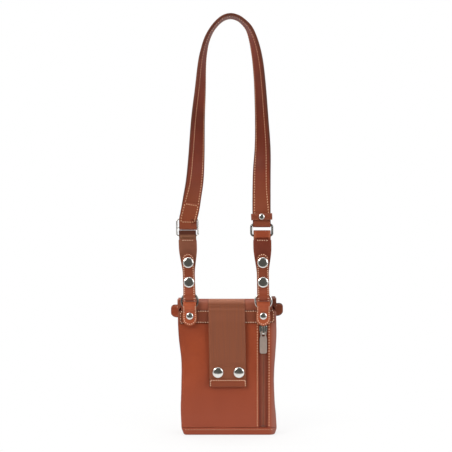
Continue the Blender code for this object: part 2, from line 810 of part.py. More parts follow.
def neck_shape():
    """The thin post that joins the slider's two plates through the slot between the tapes."""
    half = (CHAIN_SLOT - 2 * GAP) / 2
    end = SLIDER_LENGTH / 2 - GAP * 2
    low = -TAPE - COIL_THICKNESS - GAP - SLIDER_BACK / 2
    return box((-half, end - SLIDER_NECK_LENGTH, low), (half, end, GAP + SLIDER_PLATE / 2))


def make_slider(name, frame, pivot):
    bevel = SLIDER_PLATE / 4
    top = GAP + SLIDER_PLATE
    rings = []
    for out, inset in ((GAP, bevel), (GAP + bevel, 0), (top - bevel, 0), (top, bevel)):
        rings.append([(a, b, out) for a, b in slider_outline(inset)])
    made = make_object(name, moved(loft(rings), frame), "metal", pivot)
    join(made, f"{name}_bridge", moved(bridge_shape(), frame))
    join(made, f"{name}_neck", moved(neck_shape(), frame))
    join(made, f"{name}_back", moved(slider_back_shape(), frame))
    smooth(made)


def pull_pin_place():
    """Where the pull's crossbar lies, in the slider's frame: (along, out)."""
    along = -(BRIDGE_HALF_LENGTH - BRIDGE_THICKNESS - GAP - PULL_THICKNESS / 2)
    return along, GAP + SLIDER_PLATE + PULL_PLAY + PULL_THICKNESS / 2


def make_pull(name, frame, pivot):
    """A flat pull with an eye. Its crossbar lies under the slider's bridge."""
    along, out = pull_pin_place()
    bar = PULL_THICKNESS / 2
    neck, wide = PULL_NECK_WIDTH / 2, PULL_WIDTH / 2
    bottom = along - PULL_LENGTH
    shoulder = along - PULL_EYE_LENGTH - 2 * bar
    right = [(wide - PULL_CORNER, bottom), (wide, bottom + PULL_CORNER), (wide, shoulder - PULL_CORNER)]
    right += [(neck, shoulder + PULL_CORNER), (neck, along)]
    outline = right + [(-x, y) for x, y in reversed(right)]
    plate = prism(outline, out - bar, out + bar)
    made = make_object(name, moved(plate, frame), "metal", pivot)
    round_bar = moved(turned([(0, -neck), (bar, -neck), (bar, neck), (0, neck)], SMALL_SEGMENTS), ROLL)
    join(made, f"{name}_bar", moved(round_bar, frame @ Matrix.Translation((0, along, out))))
    eye_half = PULL_EYE_WIDTH / 2
    eye_top = along - bar
    cut(
        made,
        f"{name}_eye",
        moved(
            prism(
                rounded_box(-eye_half, eye_top - PULL_EYE_LENGTH, eye_half, eye_top, PULL_CORNER / 2),
                out - bar - OVERRUN,
                out + bar + OVERRUN,
            ),
            frame,
        ),
    )
    smooth(made)


# Turns the out axis to lie across.
ROLL = Matrix(((0, 0, 1, 0), (0, 1, 0, 0), (-1, 0, 0, 0), (0, 0, 0, 1)))


def make_zip(name, frame, ends, coil_ends, tape_half, stop_at, slider_at, pivots):
    """Two stringers, each a tape with its coil sewn behind, a bottom stop, a slider and its pull."""
    slot = CHAIN_SLOT / 2
    for word, side in (("left", -1), ("right", 1)):
        low, high = sorted((side * slot, side * tape_half))
        tape = box((low, ends[0], -TAPE), (high, ends[1], 0))
        stringer = make_object(f"{name}_stringer_{word}", moved(tape, frame), "zip_tape")
        coil = coil_shape(side, coil_ends)
        join(stringer, f"{name}_coil_{word}", moved(coil, frame))
    stop = rounded_box(-STOP_HALF_WIDTH, stop_at, STOP_HALF_WIDTH, stop_at + STOP_LENGTH, STOP_LENGTH / 4)
    make_object(f"{name}_stop", moved(prism(stop, GAP, GAP + STOP_THICKNESS), frame), "metal")
    there = frame @ Matrix.Translation((0, slider_at, 0))
    make_slider(f"{name}_slider", there, pivots[0])
    make_pull(f"{name}_pull", there, pivots[1])


def coil_shape(side, ends):
    """One half of the closed chain: a bar with a rounded back, sunk in the tape that it is sewn to."""
    front = -TAPE / 2
    back = -TAPE - COIL_THICKNESS
    corner = COIL_THICKNESS / 3
    inner, outer = CHAIN_SLOT / 2 + CHAIN_SLOT / 10, COIL_WIDTH / 2
    outline = (
        (inner, front),
        (inner, back + corner),
        (inner + corner, back),
        (outer - corner, back),
        (outer, back + corner),
        (outer, front),
    )
    return loft([[(side * across, along, out) for across, out in outline] for along in ends])


def make_pocket_zip():
    frame = worn_side_frame(POCKET_ZIP_X, POCKET_TAPE_FACE_Y, 0)
    along, out = pull_pin_place()
    slide = make_pivot("pocket_slider_slide", frame @ Vector((0, POCKET_SLIDER_Z, 0)))
    swing = make_pivot("pocket_pull_swing", frame @ Vector((0, POCKET_SLIDER_Z + along, out)), slide)
    make_zip(
        "pocket_zip",
        frame,
        (POCKET_TAPE_BOTTOM, POCKET_TAPE_TOP),
        (POCKET_COIL_BOTTOM, POCKET_COIL_TOP),
        TAPE_HALF_WIDTH,
        POCKET_STOP_Z - STOP_LENGTH / 2,
        POCKET_SLIDER_Z,
        (slide, swing),
    )


def make_top_zip():
    frame = top_frame(0, 0, TOP_TAPE_FACE)
    along, out = pull_pin_place()
    slide = make_pivot("top_slider_slide", frame @ Vector((0, TOP_SLIDER_X, 0)))
    swing = make_pivot("top_pull_swing", frame @ Vector((0, TOP_SLIDER_X + along, out)), slide)
    make_zip(
        "top_zip",
        frame,
        (-TOP_TAPE_HALF_LENGTH, TOP_TAPE_HALF_LENGTH),
        (-TOP_COIL_HALF_LENGTH, TOP_COIL_HALF_LENGTH),
        TOP_TAPE_HALF_WIDTH,
        TOP_STOP_X,
        TOP_SLIDER_X,
        (slide, swing),
    )


# Fasteners. Heights run out from the face of the lower layer.


def snap_cap_shape(layer):
    """Domed cap on a barrel that passes through the upper layer."""
    base = SNAP_SPACE + layer + GAP
    barrel_end = SNAP_SPACE - GAP
    dome = []
    for step in range(CORNER_STEPS + 1):
        angle = math.pi / 2 * step / CORNER_STEPS
        radius = SNAP_CAP_RADIUS * math.cos(angle)
        rise = SNAP_CAP_EDGE + (SNAP_CAP_RISE - SNAP_CAP_EDGE) * math.sin(angle)
        dome.append((radius if step < CORNER_STEPS else 0, base + rise))
    profile = [(0, barrel_end), (SNAP_BARREL_RADIUS, barrel_end), (SNAP_BARREL_RADIUS, base)]
    return turned(profile + [(SNAP_CAP_RADIUS, base)] + dome, ROUND_SEGMENTS)


def snap_socket_shape():
    """Flat ring that grips the stud's head."""
    top = SNAP_SPACE - GAP
    low = top - SNAP_SOCKET_THICKNESS
    hole = SNAP_STUD_HEAD_RADIUS + GAP
    bevel = SNAP_SOCKET_THICKNESS / 4
    profile = [(hole, low), (hole, top), (SNAP_SOCKET_RADIUS, top), (SNAP_SOCKET_RADIUS, low + bevel)]
    return turned(profile + [(SNAP_SOCKET_RADIUS - bevel, low)], SMALL_SEGMENTS)


def snap_stud_shape(layer):
    """Flat cap behind the lower layer, its shank through it, and the flange and head clenched on the shank."""
    back = -layer - GAP
    rim = SNAP_POST_CAP / 3
    base, flange = GAP, GAP + SNAP_STUD_FLANGE
    top = SNAP_SPACE - 2 * GAP
    head = SNAP_STUD_HEAD_RADIUS
    profile = [
        (0, back - SNAP_POST_CAP),
        (SNAP_POST_CAP_RADIUS - rim, back - SNAP_POST_CAP),
        (SNAP_POST_CAP_RADIUS, back - rim),
        (SNAP_POST_CAP_RADIUS, back),
        (SNAP_SHANK_RADIUS, back),
        (SNAP_SHANK_RADIUS, base),
        (SNAP_STUD_FLANGE_RADIUS, base),
        (SNAP_STUD_FLANGE_RADIUS, flange),
        (SNAP_STUD_NECK_RADIUS, flange),
        (head, top - head / 3),
        (SNAP_STUD_NECK_RADIUS, top),
        (0, top),
    ]
    return turned(profile, SMALL_SEGMENTS)


def make_snap(prefix, suffix, x, z, face_y, layers, pivots):
    """Cap and socket on the upper layer, stud on the lower one, whose face is at face_y."""
    upper, lower = layers
    frame = worn_side_frame(x, face_y, z)
    pieces = (
        ("cap", snap_cap_shape(upper), pivots[0]),
        ("socket", snap_socket_shape(), pivots[0]),
        ("stud", snap_stud_shape(lower), pivots[1]),
    )
    for word, shape, pivot in pieces:
        smooth(make_object(f"{prefix}_{word}_{suffix}", moved(shape, frame), "metal", pivot))


def rivet_shape(cap_radius, length):
    """Domed rivet whose shank runs back through everything it holds."""
    scale = cap_radius / RIVET_CAP_RADIUS
    rise = RIVET_CAP_RISE * scale
    back = RIVET_BACK_RADIUS * scale
    dome = []
    for step in range(CORNER_STEPS + 1):
        angle = math.pi / 2 * step / CORNER_STEPS
        radius = cap_radius * math.cos(angle) if step < CORNER_STEPS else 0
        dome.append((radius, GAP + rise / 4 + rise * 3 / 4 * math.sin(angle)))
    end = -length - GAP
    profile = [(0, end - RIVET_BACK_THICKNESS), (back, end - RIVET_BACK_THICKNESS), (back, end)]
    profile += [(RIVET_SHANK_RADIUS, end), (RIVET_SHANK_RADIUS, GAP), (cap_radius, GAP)]
    return turned(profile + dome, ROUND_SEGMENTS)


# Ring tabs and rings


def tab_path():
    """From the front leg's round tip, up and over the ring, and down the back leg."""
    front = TAB_FRONT_OUTER_Y + TAB_LEATHER / 2
    back = TAB_BACK_INNER_Y + TAB_LEATHER / 2
    radius = TAB_LOOP_RADIUS + TAB_LEATHER / 2
    arc_z = TAB_FOLD_TOP - TAB_LEATHER / 2 - radius
    clear = (RING_WIRE / 2 + GAP + TAB_LEATHER / 2) / math.cos(RING_TILT)
    path = []
    for step in range(1, CORNER_STEPS + 2):
        angle = math.pi / 2 * step / (CORNER_STEPS + 1)
        z = TAB_FRONT_BOTTOM + TAB_FOOT_HALF_WIDTH * (1 - math.cos(angle))
        path.append((front, z, TAB_FOOT_HALF_WIDTH * math.sin(angle)))
    path.append((front, TAB_RIVET_Z, TAB_FOOT_HALF_WIDTH))
    path.append((front, TAB_FRONT_KNEE - GAP, TAB_HALF_WIDTH))
    path.append((RING_Y - clear, RING_AXIS_Z, TAB_HALF_WIDTH))
    for y, z in arc((RING_Y, arc_z), radius, 180, 0, ARC_STEPS):
        path.append((y, z, TAB_HALF_WIDTH))
    path.append((back, TAB_BACK_KNEE - GAP, TAB_HALF_WIDTH))
    path.append((back, TAB_BACK_BOTTOM, TAB_HALF_WIDTH))
    return path


def make_tab(name, side):
    path = [(side * TAB_X, y, z, half) for y, z, half in tab_path()]
    made = make_object(name, ribbon(strip_stations(path, TAB_LEATHER)), "leather")
    cut(made, f"{name}_hole", rivet_hole(side * TAB_X, TAB_BACK_INNER_Y, TAB_RIVET_Z))
    smooth(made)


def make_tab_rivets():
    length = abs(TAB_FRONT_OUTER_Y - BACK_FACE_Y) + LEATHER
    shape = rivet_shape(RIVET_CAP_RADIUS, length)
    for word, side in (("left", -1), ("right", 1)):
        frame = worn_side_frame(side * TAB_X, TAB_FRONT_OUTER_Y, TAB_RIVET_Z)
        smooth(make_object(f"tab_rivet_{word}", moved(shape, frame), "metal"))


def make_ring(name, side, pivot):
    path = []
    for step in range(RING_SEGMENTS):
        angle = 2 * math.pi * step / RING_SEGMENTS
        x = side * TAB_X + RING_RADIUS * math.cos(angle)
        path.append(Vector((x, RING_Y, RING_Z + RING_RADIUS * math.sin(angle))))
    smooth(make_object(name, wire_loop(path, RING_WIRE / 2), "metal", pivot), 60)


# Lower straps


def strap_x(side, z):
    """The lower strap's middle, which leans from the ring to the bar."""
    top = LEFT_STRAP_TOP_X if side < 0 else RIGHT_STRAP_TOP_X
    return between(side * TAB_X, top, (z - STRAP_FOLD_BOTTOM) / (STRAP_TOP - STRAP_FOLD_BOTTOM))


def loop_offset(z):
    """How far a layer stands from the ring's plane: wide round the ring, close by the snaps."""
    wide = STRAP_LOOP_RADIUS + STRAP_LEATHER / 2
    share = (z - STRAP_LOOP_OPEN) / (STRAP_LOOP_CLOSED - STRAP_LOOP_OPEN)
    return between(wide, STRAP_LAYER_OFFSET, ease(share))


def fold_middle_z():
    return STRAP_FOLD_BOTTOM + STRAP_LEATHER + STRAP_LOOP_RADIUS


def make_lower_strap(name, side, pivot):
    """From just under the tail, round the ring's fold and up the back, widening to the bar loop."""
    radius = STRAP_LOOP_RADIUS + STRAP_LEATHER / 2
    centre_z = fold_middle_z()
    path = []
    for y, z in arc((RING_Y, centre_z), radius, 180, 360, 2 * ARC_STEPS):
        path.append((strap_x(side, z), y, z, STRAP_HALF_NARROW))
    levels = steps_between(STRAP_LOOP_OPEN, STRAP_LOOP_CLOSED, 6)
    levels += steps_between(STRAP_TAPER_BOTTOM, STRAP_TAPER_TOP, 6)
    for z in levels:
        share = (z - STRAP_TAPER_BOTTOM) / (STRAP_TAPER_TOP - STRAP_TAPER_BOTTOM)
        half = between(STRAP_HALF_NARROW, STRAP_HALF_WIDE, ease(share))
        path.append((strap_x(side, z), RING_Y + loop_offset(z), z, half))
    corner = STRAP_TOP_CORNER
    for step in range(CORNER_STEPS + 1):
        angle = math.pi / 2 * step / CORNER_STEPS
        z = STRAP_TOP - corner * (1 - math.sin(angle))
        half = STRAP_HALF_WIDE - corner * (1 - math.cos(angle))
        path.append((strap_x(side, z), STRAP_BACK_Y, z, half))
    made = make_object(name, ribbon(strip_stations(path, STRAP_LEATHER)), "leather_dark", pivot)
    holes = []
    for z in (LOWER_SNAP_Z, UPPER_SNAP_Z):
        holes.append(rivet_hole(strap_x(side, z), STRAP_BACK_Y, z, SNAP_SHANK_RADIUS, STRAP_LEATHER))
    cut(made, f"{name}_holes", merge(holes))
    smooth(made)


def make_tail(name, side, pivot):
    """The snap-down end: up from the fold to a round tip."""
    start = fold_middle_z() + GAP
    path = []
    levels = [start, between(start, STRAP_LOOP_OPEN, 0.5)]
    levels += steps_between(STRAP_LOOP_OPEN, STRAP_LOOP_CLOSED, 6)
    for z in levels:
        half = between(STRAP_HALF_NARROW, TAIL_HALF_WIDTH, ease((z - start) / (STRAP_LOOP_CLOSED - start)))
        path.append((strap_x(side, z), RING_Y - loop_offset(z), z, half))
    tip = TAIL_TOP - TAIL_HALF_WIDTH
    for step in range(CORNER_STEPS + 2):
        angle = math.pi / 2 * step / (CORNER_STEPS + 2)
        z = tip + TAIL_HALF_WIDTH * math.sin(angle)
        path.append((strap_x(side, z), TAIL_Y, z, TAIL_HALF_WIDTH * math.cos(angle)))
    made = make_object(name, ribbon(strip_stations(path, STRAP_LEATHER)), "leather", pivot)
    holes = []
    for z in (LOWER_SNAP_Z, UPPER_SNAP_Z):
        holes.append(rivet_hole(strap_x(side, z), TAIL_Y, z, SNAP_BARREL_RADIUS, STRAP_LEATHER))
    cut(made, f"{name}_holes", merge(holes))
    smooth(made)


def make_bar_loop(name, side, wire, pivot):
    """A folded band round the lower bar, sewn behind the lower strap."""
    radius = wire / 2 + GAP + BAR_LOOP_LEATHER / 2
    closed = (GAP + BAR_LOOP_LEATHER) / 2
    arc_z = BAR_LOOP_TOP - BAR_LOOP_LEATHER / 2 - radius
    open_z = BAR_Z - wire / 2 - GAP
    points = [(-closed, BAR_LOOP_BOTTOM)]
    closed_z = STRAP_TOP + GAP
    for z in steps_between(closed_z, open_z, CORNER_STEPS):
        share = (z - closed_z) / (open_z - closed_z)
        points.append((-between(closed, radius, ease(share)), z))
    points += arc((0, arc_z), radius, 180, 90, ARC_STEPS // 2)
    points += [(-offset, z) for offset, z in reversed(points[:-1])]
    path = [(strap_x(side, z), BAR_Y + offset, z, BAR_LOOP_HALF_WIDTH) for offset, z in points]
    smooth(make_object(name, ribbon(strip_stations(path, BAR_LOOP_LEATHER)), "leather", pivot))


def make_side(word, side, wire, ring_pivot, strap_pivot):
    """Everything between one riveted tab and its bar: ring, lower strap, tail, snaps and bar loop."""
    make_ring(f"ring_{word}", side, ring_pivot)
    make_lower_strap(f"lower_strap_{word}", side, strap_pivot)
    hinge_z = fold_middle_z()
    hinge_y = RING_Y - STRAP_LOOP_RADIUS - STRAP_LEATHER
    hinge = make_pivot(f"tail_{word}_open", (strap_x(side, hinge_z), hinge_y, hinge_z), strap_pivot)
    make_tail(f"strap_tail_{word}", side, hinge)
    face = STRAP_BACK_Y - STRAP_LEATHER / 2
    layers = (STRAP_LEATHER, STRAP_LEATHER)
    for level, z in (("lower", LOWER_SNAP_Z), ("upper", UPPER_SNAP_Z)):
        make_snap("strap_snap", f"{word}_{level}", strap_x(side, z), z, face, layers, (hinge, strap_pivot))
    make_bar_loop(f"bar_loop_{word}", side, wire, strap_pivot)


# Shoulder strap


def frame_path(width, height, corner, wire, middle):
    """The middle line of a wire frame, as points in the XZ plane. Its lower bar lies on the bar axis."""
    half, tall = (width - wire) / 2, height - wire
    outline = rounded_box(-half, 0, half, tall, corner)
    return [Vector((middle + x, BAR_Y, BAR_Z + z)) for x, z in outline]


def make_rect_ring(pivot):
    path = frame_path(RECT_RING_WIDTH, RECT_RING_HEIGHT, RECT_RING_CORNER, RECT_RING_WIRE, RIGHT_END_X)
    smooth(make_object("strap_ring", wire_loop(path, RECT_RING_WIRE / 2), "dark_metal", pivot), 60)


def make_slide(pivot):
    """The three-bar slide that the strap's sewn end folds round."""
    middle = LEFT_END_X + SLIDE_OFFSET
    path = frame_path(SLIDE_WIDTH, SLIDE_HEIGHT, SLIDE_CORNER, SLIDE_WIRE, middle)
    made = make_object("strap_slide", wire_loop(path, SLIDE_WIRE / 2), "metal", pivot)
    half = (SLIDE_WIDTH - SLIDE_WIRE) / 2
    bar = turned([(0, -half), (SLIDE_WIRE / 2, -half), (SLIDE_WIRE / 2, half), (0, half)], WIRE_SIDES)
    place = Matrix.Translation((middle, BAR_Y, SLIDE_MIDDLE_Z)) @ ROLL
    join(made, "slide_middle_bar", moved(bar, place))
    smooth(made, 60)


def strap_knots():
    """The route's hand-placed points as (x, y, z, turn), read from the shares.

    On the left both layers pass in front of the slide's top bar. On the right the strap comes down in
    front of the ring's upper bar and its tail goes up behind.
    """
    middle = (LEFT_END_X + RIGHT_END_X) / 2
    half_span = (RIGHT_END_X - LEFT_END_X) / 2
    left = SLIDE_WIRE / 2 + GAP + SHOULDER_THICKNESS / 2
    right = (GAP + SHOULDER_THICKNESS) / 2
    knots = []
    for across, up, turn in ARCH_SHARES:
        level = 1 - turn / 90
        y = BAR_Y - (left if level > 0 else right) * abs(level)
        knots.append((middle + across * half_span, y, between(SLIDE_TOP_BAR_Z, ARCH_TOP, up), turn))
    knots.append((RIGHT_END_X, BAR_Y - right, RECT_RING_TOP_BAR_Z + SHOULDER_CLOSE_HEIGHT, 180.0))
    return knots


def curve_through(knots, steps):
    """A smooth curve through the knots: each span is a cubic whose ends follow the neighbours."""
    found = []
    count = len(knots)
    for i in range(count - 1):
        a, b, c, d = knots[max(i - 1, 0)], knots[i], knots[i + 1], knots[min(i + 2, count - 1)]
        for step in range(steps):
            t = step / steps
            found.append(
                tuple(
                    q + t * ((r - p) / 2 + t * (p - 2.5 * q + 2 * r - s / 2 + t * (1.5 * (q - r) + (s - p) / 2)))
                    for p, q, r, s in zip(a, b, c, d)
                )
            )
    found.append(knots[-1])
    return found


def arch_stations():
    """Places and directions along the strap between its two folded ends, left to right."""
    line = curve_through(strap_knots(), 3)
    found = []
    for i, (x, y, z, turn) in enumerate(line):
        before, after = line[max(i - 1, 0)], line[min(i + 1, len(line) - 1)]
        along = Vector([after[k] - before[k] for k in range(3)]).normalized()
        if i in (0, len(line) - 1):
            along = Vector((0, 0, 1 if i == 0 else -1))
        angle = math.radians(turn)
        across = Vector((math.cos(angle), math.sin(angle), 0))
        across = (across - along * across.dot(along)).normalized()
        found.append((Vector((x, y, z)), across, across.cross(along)))
    return found


def end_fold(x, bar_z, wire, across):
    """The skived end round a bar, from in front of it to behind it."""
    radius = wire / 2 + GAP + SHOULDER_SKIVED / 2
    found = []
    for y, z in arc((0, 0), radius, 180, 360, ARC_STEPS):
        place = Vector((x, BAR_Y + y, bar_z + z))
        out = Vector((0, -y, -z)).normalized()
        found.append((place, across, out, SHOULDER_END_HALF_WIDTH, SHOULDER_SKIVED))
    return found


def strap_sections():
    """Every section of the shoulder strap from the sewn patch to the riveted tail."""
    arch = arch_stations()
    full, thin = SHOULDER_THICKNESS, SHOULDER_SKIVED
    wide, narrow = SHOULDER_HALF_WIDTH, SHOULDER_END_HALF_WIDTH
    stack = full / 2 + GAP + thin / 2
    patch, tail = [], []
    for place, across, out in arch:
        if place.x < 0 and place.z < PATCH_TOP:
            patch.append((place + out * stack, across, -out, narrow, thin))
        if place.x > 0 and place.z < STRAP_TAIL_TOP:
            tail.append((place - out * stack, across, -out, narrow, thin))
    left = end_fold(LEFT_END_X, SLIDE_MIDDLE_Z, SLIDE_WIRE, X_AXIS)
    right = end_fold(RIGHT_END_X, RECT_RING_TOP_BAR_Z, RECT_RING_WIRE, -X_AXIS)
    last = len(arch) - 1
    body = []
    for i, (place, across, out) in enumerate(arch):
        share = ease(min(i, last - i) / 3)
        body.append((place, across, out, between(narrow, wide, share), between(thin, full, share)))
    return list(reversed(patch)) + left + body + right + list(reversed(tail))


def rounded_ribbon(stations):
    """A strip with eased edges."""
    rings = []
    for place, across, out, half, thickness in stations:
        depth = thickness / 2
        ease_in = depth / 2
        ring = []
        for a, b in (
            (half, depth - ease_in),
            (half - ease_in, depth),
            (ease_in - half, depth),
            (-half, depth - ease_in),
            (-half, ease_in - depth),
            (ease_in - half, -depth),
            (half - ease_in, -depth),
            (half, ease_in - depth),
        ):
            ring.append(place + across * a + out * b)
        rings.append(ring)
    return loft(rings)


def keeper_frame():
    """The strap's own frame at the keeper: across, along and out."""
    best = min((s for s in arch_stations() if s[0].x > 0), key=lambda s: abs(s[0].z - KEEPER_Z))
    place, across, out = best
    across = -across
    along = out.cross(across)
    frame = Matrix((across, along, out)).transposed().to_4x4()
    frame.translation = place
    return frame


def keeper_reach():
    """How far the keeper's inside lies in front of and behind the strap's middle."""
    front = SHOULDER_THICKNESS / 2 + KEEPER_GAP
    return front, front + GAP + SHOULDER_SKIVED


def make_keeper(pivot):
    """A closed leather band round the strap and its folded tail."""
    front, back = keeper_reach()
    half = SHOULDER_HALF_WIDTH + KEEPER_GAP
    low, high = -KEEPER_HEIGHT / 2, KEEPER_HEIGHT / 2
    frame = keeper_frame()
    rings = []
    for grow, along in ((0, low), (KEEPER_LEATHER, low), (KEEPER_LEATHER, high), (0, high)):
        corner = KEEPER_CORNER if grow else KEEPER_CORNER - KEEPER_LEATHER / 2
        outline = rounded_box(-half - grow, -back - grow, half + grow, front + grow, corner)
        rings.append([frame @ Vector((across, along, out)) for across, out in outline])
    return make_object("strap_keeper", loop_loft(rings), "leather", pivot)


def make_shoulder_strap(pivot):
    strap = make_object("shoulder_strap", rounded_ribbon(strap_sections()), "leather", pivot)
    keeper = make_keeper(pivot)
    front, back = keeper_reach()
    frame = keeper_frame() @ Matrix.Translation((0, 0, front + KEEPER_LEATHER))
    length = front + back + 2 * KEEPER_LEATHER
    shape = rivet_shape(KEEPER_RIVET_RADIUS, length)
    radius = RIVET_SHANK_RADIUS + GAP
    hole = turned(
        [(0, -length - OVERRUN), (radius, -length - OVERRUN), (radius, OVERRUN), (0, OVERRUN)],
        SMALL_SEGMENTS,
    )
    cut(strap, "strap_rivet_hole", moved(hole, frame))
    cut(keeper, "keeper_rivet_hole", moved(hole, frame))
    smooth(make_object("keeper_rivet", moved(shape, frame), "metal", pivot))
    smooth(strap, 50)
    smooth(keeper)


# Belt loop


def anchor_path():
    """The fixed end of the webbing, sewn over the rolled rim."""
    radius = RIM_RADIUS + GAP + WEBBING / 2
    path = []
    steps = ARC_STEPS
    for step in range(steps + 1):
        angle = math.pi - ANCHOR_SWEEP * step / steps
        y = RIM_CENTRE_Y + radius * math.cos(angle)
        path.append((0, y, RIM_CENTRE_Z + radius * math.sin(angle), WEBBING_HALF_WIDTH))
    return path


def belt_x(z):
    """The hanging webbing's middle: it leans as it goes down."""
    return BELT_LEAN * (WEBBING_TOP - z) / (WEBBING_TOP - WEBBING_BOTTOM)


def webbing_path():
    """The hanging part: out over the strip, clear of the belt's space, and in to the snaps."""
    half = WEBBING / 2
    rim = RIM_CENTRE_Y - RIM_RADIUS - GAP - half
    strip = STRIP_FACE_Y - GAP - half
    belt = BACK_FACE_Y - BELT_GAP - half
    snap = BACK_FACE_Y - SNAP_SPACE - half
    points = [(rim, WEBBING_TOP), (strip, STRIP_TOP + GAP)]
    for z in steps_between(STRIP_TOP - LEATHER, BELT_GAP_TOP, CORNER_STEPS):
        share = (STRIP_TOP + GAP - z) / (STRIP_TOP + GAP - BELT_GAP_TOP)
        points.append((between(strip, belt, ease(share)), z))
    for z in steps_between(BELT_GAP_BOTTOM, BELT_SNAP_FLAT_TOP, CORNER_STEPS):
        share = (BELT_GAP_BOTTOM - z) / (BELT_GAP_BOTTOM - BELT_SNAP_FLAT_TOP)
        points.append((between(belt, snap, ease(share)), z))
    points.append((snap, WEBBING_BOTTOM))
    return [(belt_x(z), y, z, WEBBING_HALF_WIDTH) for y, z in points]


def end_patch_path():
    """A leather strip folded under the webbing's cut end."""
    middle = BACK_FACE_Y - SNAP_SPACE - WEBBING / 2
    radius = WEBBING / 2 + GAP + END_PATCH_LEATHER / 2
    low = WEBBING_BOTTOM - GAP
    points = [(middle - radius, END_PATCH_TOP)]
    points += arc((middle, low), radius, 180, 360, ARC_STEPS)
    points.append((middle + radius, END_PATCH_TOP))
    return [(belt_x(z), y, z, END_PATCH_HALF_WIDTH) for y, z in points]


def make_belt_loop():
    make_object("belt_loop_anchor", ribbon(strip_stations(anchor_path(), WEBBING)), "webbing")
    hinge_y = RIM_CENTRE_Y - RIM_RADIUS - GAP - WEBBING
    hinge = make_pivot("belt_loop_open", (0, hinge_y, RIM_CENTRE_Z))
    hanging = ribbon(strip_stations(webbing_path(), WEBBING))
    webbing = make_object("belt_loop_webbing", hanging, "webbing", hinge)
    upper_y = BACK_FACE_Y - SNAP_SPACE - WEBBING / 2
    cut(webbing, "webbing_snap_holes", belt_snap_holes(upper_y, SNAP_BARREL_RADIUS))
    patch = ribbon(strip_stations(end_patch_path(), END_PATCH_LEATHER))
    make_object("belt_loop_end_tab", patch, "leather", hinge)
    for word, side in (("left", -1), ("right", 1)):
        place = (BELT_SNAP_MIDDLE + side * BELT_SNAP_X, BELT_SNAP_Z, BACK_FACE_Y)
        make_snap("belt_snap", word, *place, (WEBBING, LEATHER), (hinge, None))
    smooth(webbing)


# The whole bag


def make_carrier():
    """Rings, lower straps and the shoulder strap. Left and right pivots share their axes."""
    rings = []
    straps = []
    for word, side in (("left", -1), ("right", 1)):
        rings.append(make_pivot(f"ring_{word}_tilt", (side * TAB_X, RING_Y, RING_AXIS_Z)))
        straps.append(make_pivot(f"strap_{word}_swing", (side * TAB_X, RING_Y, STRAP_AXIS_Z), rings[-1]))
    make_side("left", -1, SLIDE_WIRE, rings[0], straps[0])
    make_side("right", 1, RECT_RING_WIRE, rings[1], straps[1])
    arch = make_pivot("shoulder_swing", (LEFT_END_X, BAR_Y, BAR_Z), straps[0])
    make_slide(arch)
    make_rect_ring(arch)
    make_shoulder_strap(arch)


def main():
    clear_scene()
    make_panels()
    make_gusset("gusset_left", -1)
    make_gusset("gusset_right", 1)
    make_base_tray()
    make_lining()
    make_pocket_bag()
    make_top_strip()
    make_zip_end_tab("zip_end_tab_left", -1)
    make_zip_end_tab("zip_end_tab_right", 1)
    make_pocket_zip()
    make_top_zip()
    make_tab("ring_tab_left", -1)
    make_tab("ring_tab_right", 1)
    make_tab_rivets()
    make_belt_loop()
    make_carrier()


main()
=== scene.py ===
import math

import bmesh
import bpy
import numpy as np
from mathutils import Matrix, Vector, noise


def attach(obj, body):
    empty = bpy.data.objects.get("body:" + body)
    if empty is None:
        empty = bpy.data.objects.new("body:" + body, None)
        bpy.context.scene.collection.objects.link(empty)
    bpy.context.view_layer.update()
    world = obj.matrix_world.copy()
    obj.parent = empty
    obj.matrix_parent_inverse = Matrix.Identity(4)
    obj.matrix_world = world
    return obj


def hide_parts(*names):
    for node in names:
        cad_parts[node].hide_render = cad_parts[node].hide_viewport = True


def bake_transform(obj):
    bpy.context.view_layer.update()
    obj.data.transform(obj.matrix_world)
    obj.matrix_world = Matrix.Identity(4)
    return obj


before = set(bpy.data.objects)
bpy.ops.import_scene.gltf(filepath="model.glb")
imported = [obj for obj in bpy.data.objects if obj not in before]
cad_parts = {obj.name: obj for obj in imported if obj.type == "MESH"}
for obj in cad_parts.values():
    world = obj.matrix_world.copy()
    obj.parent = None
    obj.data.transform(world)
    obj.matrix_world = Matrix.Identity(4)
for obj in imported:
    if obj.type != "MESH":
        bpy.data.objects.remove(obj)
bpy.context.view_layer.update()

# Sizes that the looks share with the solid model, in metres and degrees
GAP = 0.0003
POUCH_DEPTH = 0.038
TOP_HALF_WIDTH = 0.0685
WAIST_HALF_WIDTH = 0.0640
BASE_HALF_WIDTH = 0.0665
WAIST_HEIGHT = 0.085
FULL_WIDTH_HEIGHT = 0.150
LEATHER = 0.0018
RIM_TOP = 0.1875
RIM_RADIUS = 0.0065
RIM_EDGE_HEIGHT = 0.176
RIM_END_INSET = 0.0052
TRAY_HEIGHT = 0.0106
TRAY_CORNER = 0.0050
TRAY_DRAFT = 0.0025
HEM_THICKNESS = 0.0046
HEM_HEIGHT = 0.0130
GUSSET_TOP = 0.1900
HEM_SHOULDER = 0.0050
NOTCH_MOUTH_HALF = 0.0095
END_TAB_THICKNESS = 0.0040
END_TAB_HEIGHT = 0.0181
END_TAB_REACH = 0.0104
END_TAB_INNER = 0.0082
END_TAB_MIDDLE = 0.1723
END_TAB_CORNER = 0.0050
STRIP_BOTTOM = 0.1560
STRIP_TOP = 0.1740
STRIP_HALF_WIDTH = 0.0662
STRIP_THICKNESS = 0.0015
TAPE = 0.0006
TAPE_HALF_WIDTH = 0.0088
CHAIN_SLOT = 0.0014
POCKET_ZIP_X = 0.0512
POCKET_WINDOW_WIDTH = 0.0122
POCKET_WINDOW_TOP = 0.1540
POCKET_TAPE_BOTTOM = 0.0050
POCKET_TAPE_TOP = 0.1600
POCKET_COIL = (0.0140, 0.1560)
TOP_TAPE_FACE = 0.1757
TOP_TAPE_HALF_WIDTH = 0.0115
